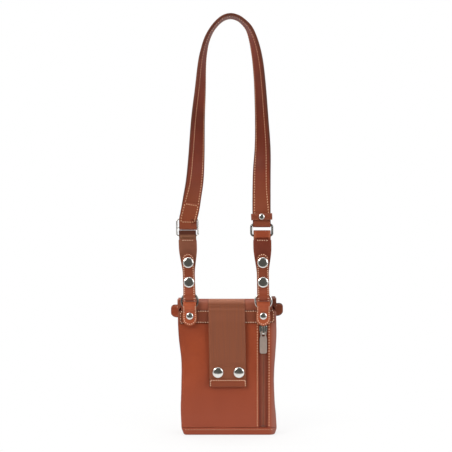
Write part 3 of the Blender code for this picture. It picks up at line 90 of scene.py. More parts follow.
TOP_TAPE_HALF_LENGTH = 0.0600
TOP_COIL_HALF_LENGTH = 0.0560
TAB_X = 0.0510
TAB_HALF_WIDTH = 0.0092
TAB_FOOT_HALF_WIDTH = 0.0100
TAB_LEATHER = 0.0016
TAB_FRONT_BOTTOM = 0.1528
TAB_BACK_BOTTOM = 0.1572
TAB_FOLD_TOP = 0.1866
TAB_RIVET_Z = 0.1664
TAB_FRONT_KNEE = 0.1716
TAB_BACK_KNEE = 0.1755
RING_RADIUS = 0.0111
RING_WIRE = 0.0030
RING_TILT = 21
RING_SEAT_SHARE = 0.88
STRAP_LEATHER = 0.0020
STRAP_HALF_NARROW = 0.0083
STRAP_HALF_WIDE = 0.0126
STRAP_TAPER_BOTTOM = 0.2220
STRAP_TAPER_TOP = 0.2620
STRAP_TOP = 0.2734
STRAP_LOOP_RADIUS = 0.0048
STRAP_LOOP_OPEN = 0.1970
STRAP_LOOP_CLOSED = 0.2055
SNAP_SPACE = 0.0034
LEFT_STRAP_TOP_X = -0.0540
RIGHT_STRAP_TOP_X = 0.0496
TAIL_HALF_WIDTH = 0.0082
TAIL_TOP = 0.2532
LOWER_SNAP_Z = 0.2133
UPPER_SNAP_Z = 0.2405
BAR_Z = 0.2776
BAR_LOOP_LEATHER = 0.0016
BAR_LOOP_HALF_WIDTH = 0.0119
BAR_LOOP_TOP = 0.2852
BAR_LOOP_BOTTOM = 0.2580
RECT_RING_WIRE = 0.0030
RECT_RING_WIDTH = 0.0323
RECT_RING_HEIGHT = 0.0187
RECT_RING_CORNER = 0.0036
SLIDE_WIRE = 0.0020
SLIDE_WIDTH = 0.0317
SLIDE_HEIGHT = 0.0250
SLIDE_CORNER = 0.0030
SLIDE_OFFSET = -0.0009
SHOULDER_HALF_WIDTH = 0.0127
SHOULDER_THICKNESS = 0.0035
SHOULDER_SKIVED = 0.0022
SHOULDER_END_HALF_WIDTH = 0.0124
SHOULDER_CLOSE_HEIGHT = 0.0070
PATCH_TOP = 0.3230
PATCH_FOOT = 0.2970
STRAP_TAIL_TOP = 0.3410
ARCH_TOP = 0.5831
LEFT_END_X = -0.0534
RIGHT_END_X = 0.0490
KEEPER_Z = 0.3035
KEEPER_HEIGHT = 0.0090
KEEPER_LEATHER = 0.0014
KEEPER_CORNER = 0.0020
KEEPER_GAP = 0.0006
LINING_THICKNESS = 0.0004
WEBBING = 0.0015
WEBBING_HALF_WIDTH = 0.0254
WEBBING_BOTTOM = 0.0705
BELT_GAP = 0.0046
BELT_GAP_TOP = 0.1570
BELT_GAP_BOTTOM = 0.1040
BELT_SNAP_Z = 0.0880
BELT_SNAP_X = 0.0146
BELT_SNAP_MIDDLE = 0.0027
BELT_LEAN = 0.0020
BELT_SNAP_FLAT_TOP = 0.0955
ANCHOR_SWEEP = 135
END_PATCH_LEATHER = 0.0014
END_PATCH_HALF_WIDTH = 0.0257
END_PATCH_TOP = 0.0790
SNAP_CAP_RADIUS = 0.0074
SNAP_CAP_RISE = 0.0024
SNAP_CAP_EDGE = 0.0007
SNAP_BARREL_RADIUS = 0.0020
SNAP_SOCKET_RADIUS = 0.0060
SNAP_SOCKET_THICKNESS = 0.0017
SNAP_STUD_FLANGE_RADIUS = 0.0055
SNAP_STUD_FLANGE = 0.0006
SNAP_STUD_HEAD_RADIUS = 0.0024
SNAP_STUD_NECK_RADIUS = 0.0019
SNAP_POST_CAP_RADIUS = 0.0050
SNAP_POST_CAP = 0.0010
SNAP_SHANK_RADIUS = 0.0017
RIVET_CAP_RADIUS = 0.0050
RIVET_CAP_RISE = 0.0020
RIVET_SHANK_RADIUS = 0.0018
RIVET_BACK_RADIUS = 0.0045
RIVET_BACK_THICKNESS = 0.0009
KEEPER_RIVET_RADIUS = 0.0040

ARCH_SHARES = (
    (-1.000, 0.000, 0.0),
    (-0.945, 0.045, 6.0),
    (-0.885, 0.110, 14.0),
    (-0.815, 0.195, 22.0),
    (-0.770, 0.315, 34.0),
    (-0.730, 0.490, 48.0),
    (-0.670, 0.630, 60.0),
    (-0.620, 0.765, 71.0),
    (-0.555, 0.840, 78.0),
    (-0.480, 0.888, 82.0),
    (-0.370, 0.929, 86.0),
    (-0.230, 0.963, 88.0),
    (-0.050, 0.990, 89.0),
    (0.148, 1.000, 90.0),
    (0.340, 0.992, 92.0),
    (0.485, 0.974, 95.0),
    (0.640, 0.942, 101.0),
    (0.740, 0.900, 107.0),
    (0.825, 0.842, 113.0),
    (0.895, 0.768, 118.0),
    (0.950, 0.660, 122.0),
    (1.000, 0.486, 131.0),
    (1.021, 0.352, 144.0),
    (0.998, 0.217, 163.0),
    (0.992, 0.062, 173.0),
)

# Stitching
PITCH = 0.0033
WINDOW_PITCH = 0.0038
TRAY_PITCH = 0.0040
SHOULDER_PITCH = 0.0036
TAB_PITCH = 0.0030
THREAD = 0.00062
TRAY_THREAD = 0.00055
TRAY_THREAD_PRESS = 0.00036
HOLE_LIFT = 0.00020
STRAP_STITCH_INSET = 0.0030
OUTER_SEAM_SWELL = 0.0028
SWELL_RATE = 12
TAIL_STITCH_INSET = 0.0017
TAB_STITCH_INSET = 0.0017
END_PATCH_STITCH_INSET = 0.0016
END_PATCH_SEAM = 0.0098
WINDOW_SEAM_AWAY = (0.0022, 0.0019)
WINDOW_SEAM_BOTTOM = 0.0120
WINDOW_SEAM_TOP = 0.1556
WINDOW_SEAM_ENDS = (0.0431, 0.0592)
# Half length and height of each seam on the front panel
FRONT_SEAMS = ((0.060, 0.1755), (0.064, 0.1560))
GUSSET_SEAM_HALF_GAP = 0.0040
GUSSET_SEAM_RISE = 0.0016
TRAY_SEAM_END = 0.004
TRAY_SEAM_HALF_DEPTH = 0.0145
STRIP_SEAM_INSET = 0.0013
STRIP_SEAM_END = 0.0016
SEAM_SEAT = 0.0001
STITCH_SLANT = 0.00016
THREAD_SIDES = 6
# Each ring of a stitch: (share along, size, lift in thread radii)
STITCH_FORM = (
    (-1, 0.35, -0.9), (-0.8, 0.85, -0.15), (-0.3, 1, 0.35),
    (0.3, 1, 0.35), (0.8, 0.85, -0.15), (1, 0.35, -0.9),
)

# Edges. Face kinds are also the places of their materials.
FRONT, BACK, EDGE = 0, 1, 2
EDGE_ROUNDING = 0.62
CHANNEL_DEPTH = 0.00022
CHANNEL_SPREAD = 0.0007
WORN_STRIP_EDGE = 0.0017
WORN_SHEET_EDGE = 0.0022
TURNED_SIDES = 48
CAST_GRAIN = 0.00014

# How the bag has settled. A pair says where a change starts and where it is full.
LEAN = (
    (0, 0.0040), (0.0106, 0.0036), (0.020, 0.0030), (0.041, 0.0018), (0.075, 0.0016),
    (0.107, 0.0024), (0.135, 0.0016), (0.160, 0.0008), (0.195, 0.0004),
)
LEAN_RIGHT = (0.0590, 0.0650)
LEAN_LEFT = (-0.030, -0.062)
TILT = 0.0150
TILT_HEIGHTS = (0.02, 0.15)
TILT_SIDES = (0.0565, 0.0640)
PANEL_SWELL = 0.0012
PANEL_SWELL_TOP = 0.150
PANEL_WAVE = 0.0011
PANEL_RIPPLE = 0.0005
CALM_TOP = (0.150, 0.130)
CALM_FOOT = (0.012, 0.032)
CALM_ZIP = (0.043, 0.028)
CALM_SNAP = (0.004, 0.016)
GUSSET_BOW = 0.0011
GUSSET_BOW_TOP = (0.160, 0.130)
GUSSET_WAVE = 0.0006
GUSSET_WAVE_TOP = (0.165, 0.145)
TRAY_SLUMP = 0.0005

# Sizes and steps of the looks alone
PANEL_EDGE = 0.0035
PANEL_EDGE_DROP = 0.0010
EDGE_COLUMNS = 4
FIELD_COLUMNS = 40
WINDOW_COLUMNS = 4
WINDOW_ROWS = 56
NOTCH_WALL = 0.00001
HEM_LIP = 0.0004
TRAY_TURN = 0.0022
TRAY_SEAM_HEIGHT = 0.0078
LINING_FLOOR = 0.0026
LINING_TOP = 0.1745
LINING_DRAW = (0.1350, 0.1629)
LINING_LEAN = (0.1615, 0.1748)
LINING_CREASE = 0.0016
LINING_MOUTH_HALF_WIDTH = 0.0600
LINING_MOUTH_HALF_DEPTH = 0.0090
LINING_FOOT_INSET = 0.0025
LINING_FOOT_HEIGHT = 0.0109
POCKET_DEPTH = 0.0044
POCKET_BAG = (-0.0058, 0.0610, 0.0044, 0.1608)
COIL_PITCH = 0.00115
COIL_INNER = 0.00012
COIL_OUTER = 0.0024
COIL_RISE = 0.00024
COIL_HALF = 0.00044
STRAP_END_CORNER = 0.0030

# Places worked out from the sizes above
BACK_FACE_Y = -POUCH_DEPTH / 2
STRIP_FACE_Y = BACK_FACE_Y - GAP - STRIP_THICKNESS
TAB_BACK_INNER_Y = STRIP_FACE_Y - GAP - TAB_LEATHER
TAB_FRONT_INNER_Y = TAB_BACK_INNER_Y - GAP
TAB_FRONT_OUTER_Y = TAB_FRONT_INNER_Y - TAB_LEATHER
RING_Y = TAB_BACK_INNER_Y - GAP - RING_WIRE / 2
RING_DROP = RING_RADIUS - math.sqrt(RING_RADIUS**2 - TAB_HALF_WIDTH**2)
RING_SINE, RING_COSINE = math.sin(math.radians(RING_TILT)), math.cos(math.radians(RING_TILT))
TAB_LOOP_RADIUS = RING_DROP * RING_SINE + (RING_WIRE / 2 + GAP) / RING_COSINE
STRAP_FOLD_BOTTOM = TAB_FOLD_TOP + 0.0008
RING_AXIS_Z = TAB_FRONT_KNEE + (RING_WIRE / 2 + GAP) / RING_SINE * RING_SEAT_SHARE
RING_Z = RING_AXIS_Z + RING_RADIUS
STRAP_LAYER_OFFSET = (SNAP_SPACE + STRAP_LEATHER) / 2
STRAP_BACK_Y = RING_Y + STRAP_LAYER_OFFSET
TAIL_Y = RING_Y - STRAP_LAYER_OFFSET
BAR_Y = STRAP_BACK_Y + STRAP_LEATHER / 2 + GAP + BAR_LOOP_LEATHER + GAP / 2
RIM_CENTRE_Y = BACK_FACE_Y + RIM_RADIUS
RIM_CENTRE_Z = RIM_TOP - RIM_RADIUS
POCKET_TAPE_FACE_Y = BACK_FACE_Y + LEATHER + GAP
PANEL_BOTTOM = TRAY_HEIGHT + GAP
SLIDE_TOP_BAR_Z = BAR_Z + SLIDE_HEIGHT - SLIDE_WIRE
SLIDE_MIDDLE_Z = (BAR_Z + SLIDE_TOP_BAR_Z) / 2
RECT_RING_TOP_BAR_Z = BAR_Z + RECT_RING_HEIGHT - RECT_RING_WIRE
WEBBING_TOP = RIM_CENTRE_Z - GAP
POCKET_WINDOW_SIDES = (POCKET_ZIP_X - POCKET_WINDOW_WIDTH / 2, POCKET_ZIP_X + POCKET_WINDOW_WIDTH / 2)
NOTCH_FLOOR_HALF = END_TAB_THICKNESS / 2 + GAP
FOLD_MIDDLE_Z = STRAP_FOLD_BOTTOM + STRAP_LEATHER + STRAP_LOOP_RADIUS

SIDES = (("left", -1), ("right", 1))
WHITE = (1, 1, 1, 1)
X_AXIS = Vector((1, 0, 0))
Y_AXIS = Vector((0, 1, 0))
Z_AXIS = Vector((0, 0, 1))


# Numbers


def ease(share):
    share = min(max(share, 0), 1)
    return share * share * (3 - 2 * share)


def fade(value, start, full):
    """From 0 at start to 1 at full, eased."""
    return ease((value - start) / (full - start))


def between(low, high, share):
    return low + (high - low) * share


def steps_between(low, high, count):
    return [between(low, high, i / count) for i in range(count + 1)]


def in_steps(start, *parts):
    """Places from the start on. Each part is (its end, its steps)."""
    found = [start]
    for end, count in parts:
        found += steps_between(found[-1], end, count)[1:]
    return found


def arc(centre, radius, start, end, steps):
    found = []
    for step in range(steps + 1):
        angle = math.radians(start + (end - start) * step / steps)
        found.append((centre[0] + radius * math.cos(angle), centre[1] + radius * math.sin(angle)))
    return found


def rounded_loop(left, right, low, high, corner, steps, upright, level):
    """A rectangle with round corners, from its lower right one, with points along its straight sides."""
    corners = (
        ((right - corner, low + corner), -90), ((right - corner, high - corner), 0),
        ((left + corner, high - corner), 90), ((left + corner, low + corner), 180),
    )
    found = []
    for k, (centre, start) in enumerate(corners):
        found += arc(centre, corner, start, start + 90, steps)
        after = corners[(k + 1) % 4]
        here, there = found[-1], arc(after[0], corner, after[1], after[1] + 90, steps)[0]
        count = level if k % 2 else upright
        for j in range(1, count):
            found.append((between(here[0], there[0], j / count), between(here[1], there[1], j / count)))
    return found


def ring_of(centre, side, up, wide, tall, sides):
    """Points round an ellipse."""
    found = []
    for k in range(sides):
        angle = 2 * math.pi * k / sides
        found.append(centre + side * (wide * math.cos(angle)) + up * (tall * math.sin(angle)))
    return found


def stacked(base, count, rows, closed=False):
    """Faces round a stack of rings of points, the first one at base. An open stack has filled ends."""
    faces = []
    for row in range(rows if closed else rows - 1):
        low, high = base + row * count, base + (row + 1) % rows * count
        for k in range(count):
            after = (k + 1) % count
            faces.append((low + k, low + after, high + after, high + k))
    if not closed:
        last = base + (rows - 1) * count
        faces += [tuple(reversed(range(base, base + count))), tuple(range(last, last + count))]
    return faces


# Materials


def shade(code):
    """A colour given as it looks, made linear."""
    parts = [int(code[i:i + 2], 16) / 255 for i in (0, 2, 4)]
    return tuple(c / 12.92 if c <= 0.04045 else ((c + 0.055) / 1.055) ** 2.4 for c in parts) + (1,)


def add_node(tree, kind, inputs, **settings):
    """A shader node. An input that is a socket is linked, and any other is set."""
    made = tree.nodes.new(kind)
    for key, value in settings.items():
        setattr(made, key, value)
    for key, value in inputs.items():
        if isinstance(value, bpy.types.NodeSocket):
            tree.links.new(value, made.inputs[key])
        else:
            made.inputs[key].default_value = value
    return made


class Look:
    """A material and its nodes."""

    def __init__(self, name, rough=0.5, metallic=0.0):
        self.material = bpy.data.materials.new(name)
        self.material.use_nodes = True
        self.tree = self.material.node_tree
        self.shader = self.tree.nodes["Principled BSDF"]
        self.shader.inputs["Roughness"].default_value = rough
        self.shader.inputs["Metallic"].default_value = metallic
        self.here = self.tree.nodes.new("ShaderNodeTexCoord")
        self.normal = None

    def node(self, kind, inputs, **settings):
        return add_node(self.tree, kind, inputs, **settings)

    def place(self, stretch=None, source="Object"):
        found = self.here.outputs[source]
        if stretch is None:
            return found
        return self.node("ShaderNodeMapping", {"Vector": found, "Scale": stretch}).outputs[0]

    def noise(self, scale, detail=2.0, rough=0.5, place=None):
        inputs = {"Vector": place or self.place(), "Scale": scale, "Detail": detail, "Roughness": rough}
        return self.node("ShaderNodeTexNoise", inputs).outputs[0]

    def cells(self, size, feature="SMOOTH_F1"):
        inputs = {"Vector": self.place(), "Scale": 1 / size}
        return self.node("ShaderNodeTexVoronoi", inputs, feature=feature).outputs["Distance"]

    def span(self, value, low, high, to_low=0.0, to_high=1.0):
        inputs = {"Value": value, "From Min": low, "From Max": high, "To Min": to_low, "To Max": to_high}
        return self.node("ShaderNodeMapRange", inputs).outputs[0]

    def maths(self, operation, a, b=0.0):
        return self.node("ShaderNodeMath", {0: a, 1: b}, operation=operation).outputs[0]

    def mark(self, name):
        return self.node("ShaderNodeAttribute", {}, attribute_name=name).outputs["Fac"]

    def mix(self, share, a, b):
        return self.node("ShaderNodeMix", {0: share, 6: a, 7: b}, data_type="RGBA").outputs[2]

    def tint(self, colour, tints):
        for axis, start, full, share, tone in tints:
            parts = self.node("ShaderNodeSeparateXYZ", {"Vector": self.place()})
            colour = self.mix(self.span(parts.outputs[axis], start, full, 0, share), colour, shade(tone))
        return colour

    def use(self, **sockets):
        for name, value in sockets.items():
            socket = self.shader.inputs[name.replace("_", " ").title().replace("Ior", "IOR")]
            if isinstance(value, bpy.types.NodeSocket):
                self.tree.links.new(value, socket)
            else:
                socket.default_value = value

    def bump(self, height, strength, distance):
        inputs = {"Height": height, "Strength": strength, "Distance": distance}
        if self.normal:
            inputs["Normal"] = self.normal
        self.normal = self.node("ShaderNodeBump", inputs).outputs[0]
        self.tree.links.new(self.normal, self.shader.inputs["Normal"])


def leather(name, light, deep, worn_edge, rough=0.46, edge_share=0.7, grain=0.0011, tints=()):
    """Smooth waxed leather: cloudy colour, fine closed grain, a few long creases, a rubbed edge.

    A tint is (axis, where it starts, where it is full, its share, its colour).
    """
    look = Look(name, rough)
    light, deep = shade(light), shade(deep)
    colour = look.mix(look.span(look.noise(16, 3, 0.55), 0.36, 0.64), deep, light)
    colour = look.mix(look.span(look.noise(170, 4, 0.6), 0.35, 0.75, 0, 0.35), colour, deep)
    edge = look.maths("MULTIPLY", look.mark("edge"), look.span(look.noise(90, 2), 0.3, 0.7, 0.6, 1.0))
    colour = look.mix(look.maths("MULTIPLY", edge, edge_share), colour, shade(worn_edge))
    cells = look.cells(grain)
    fine = look.cells(grain / 2.6, "F1")
    colour = look.mix(look.span(cells, 0.25, 0.0, 0, 0.12), colour, light)
    worn = look.span(look.noise(60, 3), 0.3, 0.7, rough - 0.07, rough + 0.09)
    look.use(base_color=look.tint(colour, tints), roughness=worn, specular_ior_level=0.22)
    look.bump(look.noise(38, 3, 0.5, look.place((1, 1, 0.45))), 0.30, 0.0012)
    look.bump(cells, 0.22, 0.00022)
    look.bump(fine, 0.16, 0.00010)
    return look.material


def flesh_side(name, light, deep):
    """The unfinished side of leather: matt, with short fibres."""
    look = Look(name, 0.82)
    light, deep = shade(light), shade(deep)
    fibres = look.noise(700, 4, 0.7)
    colour = look.mix(look.span(look.noise(30, 4, 0.6), 0.35, 0.65), deep, light)
    look.use(base_color=look.mix(look.span(fibres, 0.35, 0.7, 0, 0.5), colour, light))
    look.use(sheen_weight=0.25, sheen_roughness=0.5)
    look.bump(fibres, 0.5, 0.00018)
    return look.material


def thread(name, light, deep):
    """Waxed thread with its twist."""
    look = Look(name, 0.52)
    look.use(base_color=look.mix(look.noise(900, 2), shade(deep), shade(light)), sheen_weight=0.2)
    look.bump(look.noise(2600, 2), 0.4, 0.00008)
    return look.material


def webbing(name, light, deep, rib, cord, tints=()):
    """Woven webbing: cross ribs a fixed pitch apart, parted into lengthwise cords."""
    look = Look(name, 0.74)
    light, deep = shade(light), shade(deep)
    parts = look.node("ShaderNodeSeparateXYZ", {"Vector": look.place(source="UV")})
    across, along = parts.outputs[0], parts.outputs[1]
    ribs = look.maths("MULTIPLY", along, 2 * math.pi / rib)
    half_turn = look.maths("MULTIPLY", look.maths("FLOOR", look.maths("DIVIDE", across, cord)), math.pi)
    shifted = look.maths("SINE", look.maths("ADD", ribs, half_turn))
    column = look.maths("ABSOLUTE", look.maths("SINE", look.maths("MULTIPLY", across, math.pi / cord)))
    weave = look.maths("MULTIPLY", look.span(shifted, -1, 1), look.maths("POWER", column, 0.6))
    streaks = look.noise(1, 3, 0.6, look.place((620, 12, 1), "UV"))
    colour = look.mix(look.span(streaks, 0.3, 0.7, 0.2, 0.95), deep, light)
    # Painted shade in the hollows between cords and ribs, and a painted highlight along each rib's crest.
    colour = look.mix(look.span(weave, 0.35, 0.0, 0, 0.45), colour, deep)
    colour = look.mix(look.span(look.maths("SINE", ribs), 0.2, 1.0, 0, 0.10), colour, light)
    look.use(base_color=look.tint(colour, tints), roughness=look.span(streaks, 0.3, 0.7, 0.66, 0.84))
    look.use(sheen_weight=0.12, sheen_roughness=0.4)
    look.bump(streaks, 0.08, 0.0002)
    look.bump(weave, 0.55, 0.00028)
    return look.material


def cloth(name, light, deep, size):
    """Plain woven cloth."""
    look = Look(name, 0.86)
    warp = look.noise(1, 2, 0.5, look.place((1 / size, 1 / size, 60)))
    weft = look.noise(1, 2, 0.5, look.place((60, 60, 1 / size)))
    threads = look.maths("ADD", warp, weft)
    colour = look.mix(look.span(look.noise(40, 3), 0.35, 0.65), shade(deep), shade(light))
    look.use(base_color=look.mix(look.span(threads, 1.1, 0.8, 0, 0.4), colour, shade(deep)))
    look.bump(threads, 0.4, 0.00015)
    return look.material


def plated(name, colour, dull, rough, metallic=1.0):
    """Polished plating with faint smears and hairline marks."""
    look = Look(name, rough, metallic)
    smears = look.span(look.noise(120, 4, 0.65), 0.35, 0.7)
    colour = look.mix(look.maths("MULTIPLY", smears, 0.5), colour + (1,), dull + (1,))
    look.use(base_color=colour, roughness=look.span(smears, 0, 1, rough, rough + 0.10))
    look.bump(look.noise(1, 3, 0.5, look.place((900, 900, 90))), 0.05, 0.00004)
    return look.material


# Painted light on the back panel: a paler, pinker sheen towards the foot and along the right edge, and a
# lighter tone on the rolled rim above the strip, where the top light falls on it.
PANEL_LIGHT_TINTS = (
    (2, 0.095, 0.025, 0.85, "984A33"), (2, 0.1555, 0.1580, 1, "99553F"), (0, 0.0595, 0.0665, 0.8, "98665A"),
)
# Painted shade: each tail darker low down, where it turns in round its ring below the lower snap.
TAIL_SHADE_TINTS = ((2, 0.205, 0.228, 0.7, "7E402A"),)
# Painted light: the shoulder strap paler down its lower legs, where they turn to face the lamps.
STRAP_LIGHT_TINTS = ((2, 0.370, 0.325, 0.85, "8C482F"),)
# Painted shade: a dark band across the top of the left bar loop, under the strap's fold.
FOLD_SHADE_TINTS = ((2, 0.2775, 0.2800, 0.85, "481A0C"),)
# Painted shade: the strap's cut edges darker down its lower legs, where the edge lies in shadow.
STRAP_EDGE_SHADE_TINTS = ((2, 0.41, 0.37, 0.8, "5A2C1E"),)
# Painted highlight: the webbing paler at its top, where it rolls over the rim under the top light.
WEBBING_HIGHLIGHT_TINTS = ((2, 0.1830, 0.1865, 0.6, "AC6E54"),)
# Roughness, share of the rubbed edge and grain of a cut edge
CUT = (0.55, 0.3, 0.0006)
TAN = leather("tan_leather", "B65B39", "98472C", "C07A58")
TAN_EDGE = leather("tan_cut_edge", "A05C40", "844630", "704030", *CUT)
TAIL = leather("tail_leather", "994B31", "823C25", "B06A4A", tints=TAIL_SHADE_TINTS)
TAN_PANEL = leather("panel_leather", "9E4829", "8E3F25", "5A2A18", 0.46, 0.45, tints=PANEL_LIGHT_TINTS)
FRONT_PANEL = leather("front_leather", "9E4725", "8E3D21", "5A2A18", 0.46, 0.45)
# A shaded copy of the tan leather: painted shade for the top strip, the right gusset and the right zip end
# tab.
SHADED_TAN_LEATHER = leather("shaded_leather", "8A4A31", "743B2A", "4E281C", 0.42, 0.5)
STRAP = leather("strap_leather", "7C2F16", "64250F", "3A1B11", 0.46, 0.8, tints=STRAP_LIGHT_TINTS)
LOWER_STRAP = leather("lower_strap_leather", "8C4430", "743626", "A86850", 0.46, 0.6)
STRAP_BACK = leather("strap_underside", "8E5841", "73402D", "A8765C", 0.60, 0.6)
STRAP_FOLD = leather("strap_fold", "8D5F45", "774B36", "5A3424", 0.60, 0.6, tints=FOLD_SHADE_TINTS)
FLESH = flesh_side("flesh_side", "7A4A38", "5A3224")
STRAP_EDGE = leather("strap_cut_edge", "7A3B25", "592D1C", "4B2415", *CUT, tints=STRAP_EDGE_SHADE_TINTS)
RAW_EDGE = leather("cut_edge", "5A2C1E", "402016", "36190F", *CUT)
# Painted shade: the dark disc at each end of a stitch stands for the shade inside its needle hole.
HOLE_SHADE = leather("needle_hole_shade", "5E2A1A", "461C10", "461C10", 0.7)
THREAD_PALE = thread("thread", "FBD0B0", "EAB491")
THREAD_RUST = thread("thread_rust", "F6BC94", "E2A276")
WEBBING_LOOK = webbing("webbing_weave", "914E2E", "793F24", 0.00085, 0.00095, WEBBING_HIGHLIGHT_TINTS)
ZIP_TAPE = webbing("zip_tape_weave", "8C3C22", "6C2C19", 0.0006, 0.0007)
ZIP_TEETH = webbing("zip_coil", "A05C40", "743C28", 0.0012, 0.0040)
LINING_LOOK = cloth("lining_cloth", "5A4438", "3E2E26", 0.0006)
NICKEL = plated("nickel", (0.86, 0.84, 0.80), (0.66, 0.64, 0.60), 0.12)
SLIDER_NICKEL = plated("slider_nickel", (0.92, 0.88, 0.82), (0.70, 0.66, 0.60), 0.14)
PAINTED_STOP = plated("painted_stop", (0.215, 0.068, 0.038), (0.15, 0.045, 0.026), 0.45, 0.3)
# A shaded copy of the nickel: painted shade for the left ring and the rectangular strap ring.
SHADED_NICKEL = plated("shaded_nickel", (0.24, 0.23, 0.21), (0.14, 0.13, 0.12), 0.16)
PULL_NICKEL = plated("pull_nickel", (0.64, 0.51, 0.44), (0.46, 0.36, 0.31), 0.38, 0.8)


# Meshes


def add_object(name, data):
    made = bpy.data.objects.new(name, data)
    bpy.context.scene.collection.objects.link(made)
    return made


def make_mesh(name, points, faces, materials, picks=None, marks=None, uvs=None):
    """One smooth object. Picks gives each face's material, marks each point's closeness to an edge."""
    mesh = bpy.data.meshes.new(name)
    mesh.from_pydata([tuple(p) for p in points], [], [tuple(f) for f in faces])
    if marks is not None:
        held = mesh.attributes.new("edge", "FLOAT", "POINT")
        held.data.foreach_set("value", np.array(marks, np.float32))
    for material in materials:
        mesh.materials.append(material)
    if picks is not None:
        mesh.polygons.foreach_set("material_index", np.array(picks, np.int32))
    if uvs is not None:
        layer = mesh.uv_layers.new(name="UVMap")
        corners = np.zeros(len(mesh.loops), np.int32)
        mesh.loops.foreach_get("vertex_index", corners)
        layer.data.foreach_set("uv", np.array(uvs, np.float32)[corners].ravel())
    build = bmesh.new()
    build.from_mesh(mesh)
    bmesh.ops.recalc_face_normals(build, faces=build.faces)
    build.to_mesh(mesh)
    build.free()
    mesh.shade_smooth()
    mesh.update()
    return add_object(name, mesh)


def settle(piece, body, nodes=()):
    """The piece rides its body and stands for the solids named."""
    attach(piece, body)
    if nodes:
        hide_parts(*nodes)
    return piece


def ease_edges(piece, width, degrees):
    """Rounds the edges that turn by more than the angle."""
    change = piece.modifiers.new("eased", "BEVEL")
    change.width = width
    change.segments = 3
    change.limit_method = "ANGLE"
    change.angle_limit = math.radians(degrees)


def cross_section(half, thickness, columns, channel):
    """Points (across, out, face kind) round a strip: cut edges eased, a shallow channel under each seam."""
    depth = thickness / 2
    corner = min(depth * EDGE_ROUNDING, half / 2)
    flat = half - corner
    line = max(half - channel, half * 0.42)
    spread = min(CHANNEL_SPREAD, half * 0.12)
    dip = ((-spread, 0), (0, CHANNEL_DEPTH), (spread, 0)) if channel else ()
    inner = line - spread * 2.2 if channel else flat
    face = [(-flat, 0)] + [(a - line, low) for a, low in dip]
    face += [(a, 0) for a in steps_between(-inner, inner, columns - 1)]
    face += [(line + a, low) for a, low in dip] + [(flat, 0)]
    swollen = [(a, depth - low + 0.05 * depth * (1 - (a / half) ** 2)) for a, low in face]

    def round_off(side, level, angles):
        found = []
        for turn in map(math.radians, angles):
            across = side * flat + corner * math.cos(turn)
            found.append((across, level * (depth - corner) + corner * math.sin(turn), EDGE))
        return found

    ring = [(a, out, FRONT) for a, out in swollen]
    ring += round_off(1, 1, (60, 30, 0)) + round_off(1, -1, (0, -30, -60))
    ring += [(a, -out, BACK) for a, out in reversed(swollen)]
    return ring + round_off(-1, -1, (240, 210, 180)) + round_off(-1, 1, (180, 150, 120))


def eased_ends(stations, ends=(True, True)):
    """Rounds the strip's cut ends. A station is (place, across, out, half width, thickness)."""
    def cap(end, after):
        place, across, out, half, thickness = end
        along = (after[0] - place).normalized()
        step = min(thickness * 0.3, (after[0] - place).length * 0.6)
        return [
            (place, across, out, max(half - step, half * 0.5), thickness * 0.4),
            (place + along * step * 0.3, across, out, max(half - step * 0.35, half * 0.7), thickness * 0.8),
            (place + along * step, across, out, half, thickness),
        ]
    found = list(stations)
    if ends[0]:
        found = cap(found[0], found[1]) + found[1:]
    if ends[1]:
        found = found[:-1] + list(reversed(cap(found[-1], found[-2])))
    return found


def sweep(name, stations, materials, columns=7, channel=0.0, closed=False, ends=(True, True)):
    """A leather or woven strip. Materials are for its outward face, its back and its cut edges."""
    if not closed:
        stations = eased_ends(stations, ends)
    points, marks, uvs = [], [], []
    run = 0
    for i, (place, across, out, half, thickness) in enumerate(stations):
        if i:
            run += (place - stations[i - 1][0]).length
        ring = cross_section(half, thickness, columns, channel)
        for a, b, kind in ring:
            points.append(place + across * a + out * b)
            marks.append(min(max(1 - (half - abs(a)) / WORN_STRIP_EDGE, 0), 1))
            uvs.append((a, run))
    kinds = [kind for a, b, kind in ring]
    around = [kind if kind == after else EDGE for kind, after in zip(kinds, kinds[1:] + kinds[:1])]
    picks = around * len(stations) if closed else around * (len(stations) - 1) + [EDGE, EDGE]
    faces = stacked(0, len(kinds), len(stations), closed)
    return make_mesh(name, points, faces, materials, picks, marks, uvs)


